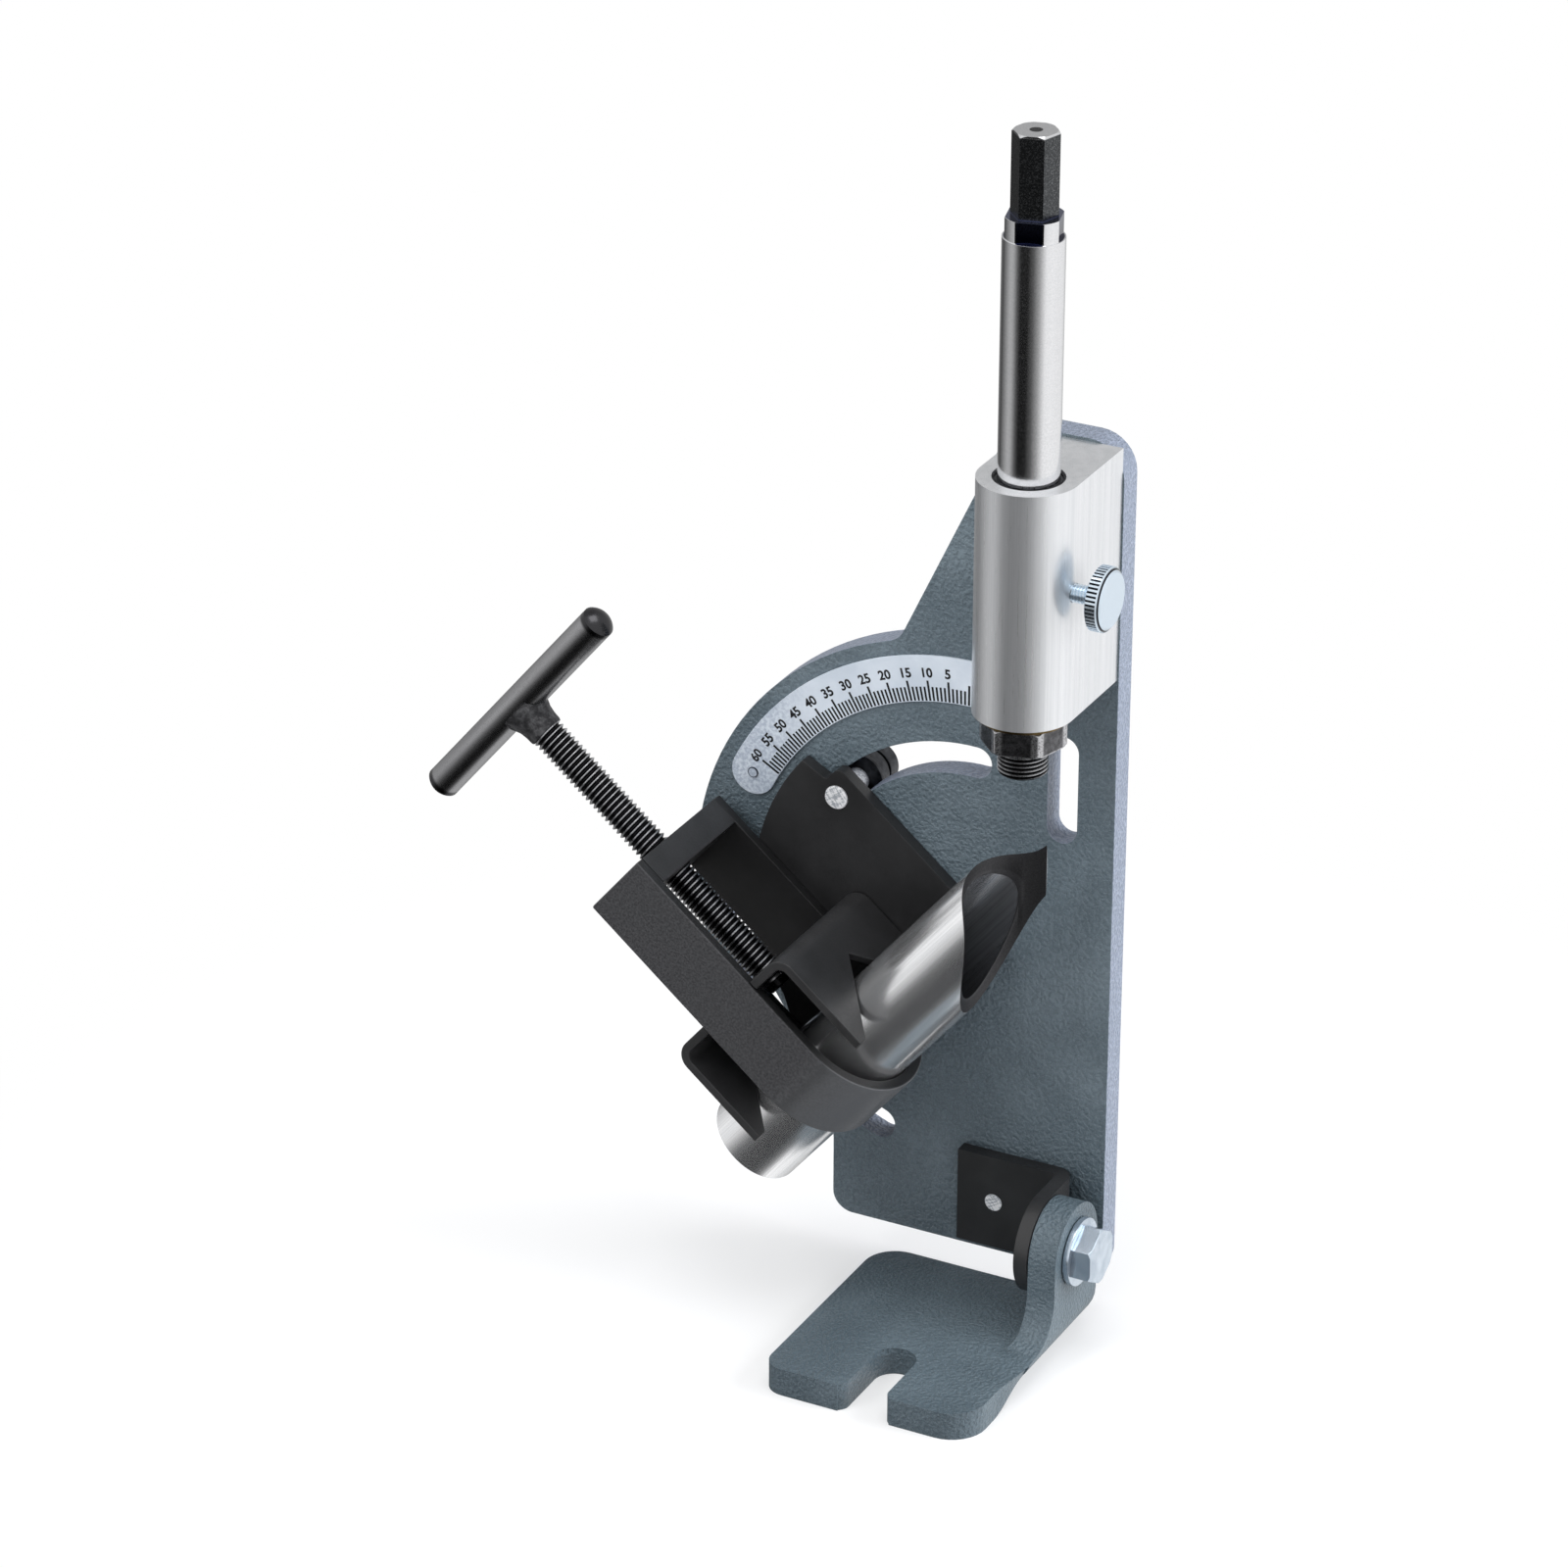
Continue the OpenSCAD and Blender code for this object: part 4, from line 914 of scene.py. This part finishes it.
def weld_scale():
    finish = Finish("weld_scale", metallic=0.7)
    lumps = finish.noise(finish.place(), 420, 5, 0.65)
    crust = finish.node("ShaderNodeTexVoronoi", {"feature": "SMOOTH_F1"},
                        {"Vector": finish.place(), "Scale": 1400, "Smoothness": 0.6})
    finish.give("Base Color", finish.shade(lumps, 0.35, 0.7, (48, 48, 50), (98, 98, 100)))
    finish.give("Roughness", finish.between(crust, 0.1, 0.6, 0.4, 0.65))
    finish.give("Normal", finish.bump(lumps, 0.0006, 0.8))
    return finish


clamp_screw = wound_thread("clamp_screw_thread", SCREW_R, SCREW_PITCH,
                           BAR_UP - BAR_R * BAR_SUNK - SCREW_FROM, 0.0004, 32)
laid(clamp_screw, Matrix.Translation((0, 0, SCREW_FROM)))
neck = turned_bar("neck", NECK_R, NECK_LONG, 0.0006, 40)
laid(neck, Matrix.Translation((0, 0, SCREW_FROM - NECK_DOWN)))
clamp_screw = joined("clamp_screw_thread", [clamp_screw, neck])
laid(clamp_screw, VISE)
fitted(clamp_screw, "screw",
       rubbed_thread("clamp_screw_steel", VISE.translation, OUTWARD, SCREW_R, SCREW_DEEP),
       "black_oxide", "clamp_screw")
tee_bar = eased(copy_of("handle_bar", "tee_bar"), 0.0003, 2, 20)
fitted(tee_bar, "screw", dark_bar_steel(), "gun_steel", "handle_bar")

bpy.ops.object.select_all(action="DESELECT")
bpy.ops.mesh.primitive_circle_add(vertices=64, radius=SCREW_R * WELD_FROM, fill_type="NOTHING")
weld = bpy.context.object
opened(weld)
drawn_up(weld, [(rise, SCREW_R * share) for rise, share in WELD_RINGS])
bpy.ops.mesh.extrude_region_move(TRANSFORM_OT_translate={"value": (0, 0, WELD_LIP)})
bpy.ops.transform.resize(value=(WELD_CROWN, WELD_CROWN, 1))
bpy.ops.mesh.edge_face_add()
bpy.ops.mesh.select_all(action="DESELECT")
bpy.ops.mesh.select_non_manifold()
bpy.ops.mesh.edge_face_add()
faced_out()
# The bead is drawn up into a saddle along the bar's sides
for corner in weld.data.vertices:
    share = corner.co.z / WELD_TALL
    reach = min(abs(corner.co.y), BAR_R * 0.98)
    climb = BAR_R - sqrt(BAR_R ** 2 - reach ** 2)
    corner.co.z += share * climb * WELD_CLIMB
laid(weld, VISE @ Matrix.Translation((0, 0, BAR_UP - BAR_R - WELD_DOWN)))
weld.name = "weld_bead"
smoothed(weld, 50)
fitted(weld, "screw", weld_scale(), "gun_steel", "handle_weld")

# ---------------------------------------------------------------------------
# Sample tube: a length of 31.75 mm bright drawn steel tube in the vise, with
# its far end already notched by a saw.

SAW_AXIS, SAW_R = (0.0356, -0.0162, 0), 0.018
TUBE_DOWN, TUBE_R = 0.004425, 0.015875
BORE_FROM, BORE_TO = TUBE_R - 0.0026, TUBE_R - 0.0022
TUBE_AXIS = VISE @ Vector((0, 0, -TUBE_DOWN))


def drawn_tube_steel():
    finish = Finish("tube_steel")
    lines = finish.noise(finish.drawn(OUTWARD, NORTH, ALONG, 1500, 26), 1, 4, 0.6)
    broad = finish.noise(finish.drawn(OUTWARD, NORTH, ALONG, 260, 8), 1, 2)
    grit = finish.noise(finish.place(), 2400, 3)
    base = finish.shade(broad, 0.25, 0.75, (240, 241, 243), (252, 252, 253))
    base = finish.mix(finish.between(lines, 0.4, 0.7) * 0.18, base, (190, 191, 194))
    # The saw's cut is dull, and the bore keeps its dark mill scale
    cut = finish.off_axis(SAW_AXIS, UP) - SAW_R
    sawn = finish.between(cut, 0.00035, 0.0002) * finish.between(cut, -0.00035, -0.0002)
    inside = 1 - finish.between(finish.off_axis(TUBE_AXIS, ALONG), BORE_FROM, BORE_TO)
    bore = finish.mix(lines, (96, 98, 102), (150, 152, 156))
    dull = finish.mix(grit, (44, 44, 46), (84, 84, 86))
    finish.give("Base Color", finish.mix(sawn, finish.mix(inside, base, bore), dull))
    finish.give("Metallic", 0.92 - inside * 0.2)
    finish.give("Roughness", finish.between(lines, 0.3, 0.7, 0.17, 0.24) + sawn * 0.3)
    finish.give("Normal", finish.bump(lines, 0.000012, 0.3))
    return finish


tube = eased(copy_of("sample_tube", "notched_sample_tube"), 0.0002)
fitted(tube, "tube", drawn_tube_steel(), "tube_steel", "sample_tube")

# ---------------------------------------------------------------------------
# The studio: a pale floor that keeps the soft shadow, three softboxes, walls
# that only shiny metal mirrors, and a long lens at the photograph's angle.

# The camera's own axes, from the fit to the photograph, and its place
BACK = Vector((0.413602, -0.798181, 0.437901))
VIEW_TURN = radians(27.3934)
SIDE = Vector((cos(VIEW_TURN), sin(VIEW_TURN), 0))
RISE = BACK.cross(SIDE)
ROLL = radians(0.1510)
ACROSS = SIDE * cos(ROLL) + RISE * sin(ROLL)
TOPWARD = RISE * cos(ROLL) - SIDE * sin(ROLL)
FAR, LEFT_BY, UP_BY = 1.9518313, 0.05784964, 0.04442246

view = bpy.data.cameras.new("view")
view.sensor_width, view.lens = 36, 141.434
view.clip_start, view.clip_end = 0.05, 30
camera = bpy.data.objects.new("view", view)
camera.matrix_world = Matrix((ACROSS, TOPWARD, BACK)).transposed().to_4x4()
camera.location = BACK * FAR - ACROSS * LEFT_BY + TOPWARD * UP_BY + PIVOT
bpy.context.scene.collection.objects.link(camera)
bpy.context.scene.camera = camera


def ray(finish, kind):
    """One for rays of this kind, and none for the others."""
    return finish.node("ShaderNodeLightPath", {}, {}, f"Is {kind} Ray")


# The camera sees the floor fade to white, and mirrored rays pass through it
bpy.ops.object.select_all(action="DESELECT")
bpy.ops.mesh.primitive_circle_add(vertices=96, radius=0.9, fill_type="NGON",
                                  location=(-0.02, 0, 0))
floor = bpy.context.object
floor.name = "floor"
bpy.ops.object.transform_apply(location=True)
ground = Finish("pale_floor", specular_ior_level=0.0, roughness=1.0)
ground.give("Base Color", screen(250, 250, 250))
glow = ground.node("ShaderNodeEmission", {}, {"Color": (1, 1, 1, 1), "Strength": 1.0})
fade = ground.between(ground.vectors("LENGTH", ground.place()), 0.10, 0.36, 0.42, 1.0)
body = ground.node("ShaderNodeMixShader", {},
                   {0: fade * ray(ground, "Camera"), 1: Wire(ground, ground.shader.outputs[0]),
                    2: glow})
hole = ground.node("ShaderNodeBsdfTransparent", {}, {})
body = ground.node("ShaderNodeMixShader", {}, {0: ray(ground, "Glossy"), 1: body, 2: hole})
ground.plug(ground.tree.nodes["Material Output"].inputs["Surface"], body)
floor.data.materials.append(ground.material)

FRONT_BEARING = radians(-62.6066)
LIT_POINT = Vector((-0.01, 0, 0.17))


def softbox(name, bearing, height, distance, wide, tall, power, colour=(1, 1, 1), mirrored=False):
    """A lamp at a bearing right of the camera, aimed at the tool's middle."""
    lamp = bpy.data.lights.new(name, "AREA")
    lamp.shape, lamp.size, lamp.size_y = "RECTANGLE", wide, tall
    lamp.energy, lamp.color = power, colour
    holder = bpy.data.objects.new(name, lamp)
    turn = FRONT_BEARING + radians(bearing)
    at = Vector((distance * cos(turn), distance * sin(turn), height))
    holder.location = at
    holder.rotation_euler = (at - LIT_POINT).to_track_quat("Z", "Y").to_euler()
    holder.visible_glossy = mirrored
    bpy.context.scene.collection.objects.link(holder)


softbox("key_right", 78, 0.55, 1.3, 0.8, 1.2, 22, (0.96, 0.97, 1.0))
softbox("top", 20, 1.7, 0.25, 1.0, 1.0, 10, mirrored=True)
softbox("fill_left", -62, 0.85, 0.75, 0.5, 0.6, 4.2)

world = bpy.data.worlds.new("studio")
bpy.context.scene.world = world
world.use_nodes = True
room = Finish("studio", world.node_tree)
direction = room.node("ShaderNodeTexCoord", {}, {}, "Generated")
ahead, rightward, climb = (
    room.vectors("DOT_PRODUCT", direction, axis)
    for axis in ((cos(FRONT_BEARING), sin(FRONT_BEARING), 0),
                 (-sin(FRONT_BEARING), cos(FRONT_BEARING), 0), UP))
around = {"Fac": rightward.maths("ARCTAN2", ahead) * (0.5 / pi) + 0.5}
# Low down: a grey wall, a dark gap before the tool's front and a bright right side
low = room.node("ShaderNodeValToRGB", {"stops": (
    (0.0, 0.32), (0.12, 0.06), (0.18, 0.22), (0.25, 0.46), (0.285, 0.42), (0.335, 0.09),
    (0.37, 0.008), (0.445, 0.008), (0.50, 0.10), (0.56, 0.38), (0.63, 0.95), (0.70, 1.0),
    (0.80, 0.95), (0.87, 0.92), (0.94, 0.60), (1.0, 0.28))}, around)
high = room.node("ShaderNodeValToRGB", {"stops": (
    (0.0, 0.5), (0.15, 0.7), (0.25, 1.0), (0.8, 1.0), (1.0, 0.5))}, around)
walls = room.mix(room.between(climb, -0.32, 0.02), low, high)
fill = room.mix(ray(room, "Glossy"), (0.50, 0.51, 0.53, 1), walls)
clear = (ray(room, "Camera") + ray(room, "Transmission")).maths("MINIMUM", 1.0)
backdrop = room.tree.nodes["Background"]
room.plug(backdrop.inputs["Color"], room.mix(clear, fill, (1, 1, 1, 1)))
bpy.context.scene.view_settings.view_transform = "Standard"
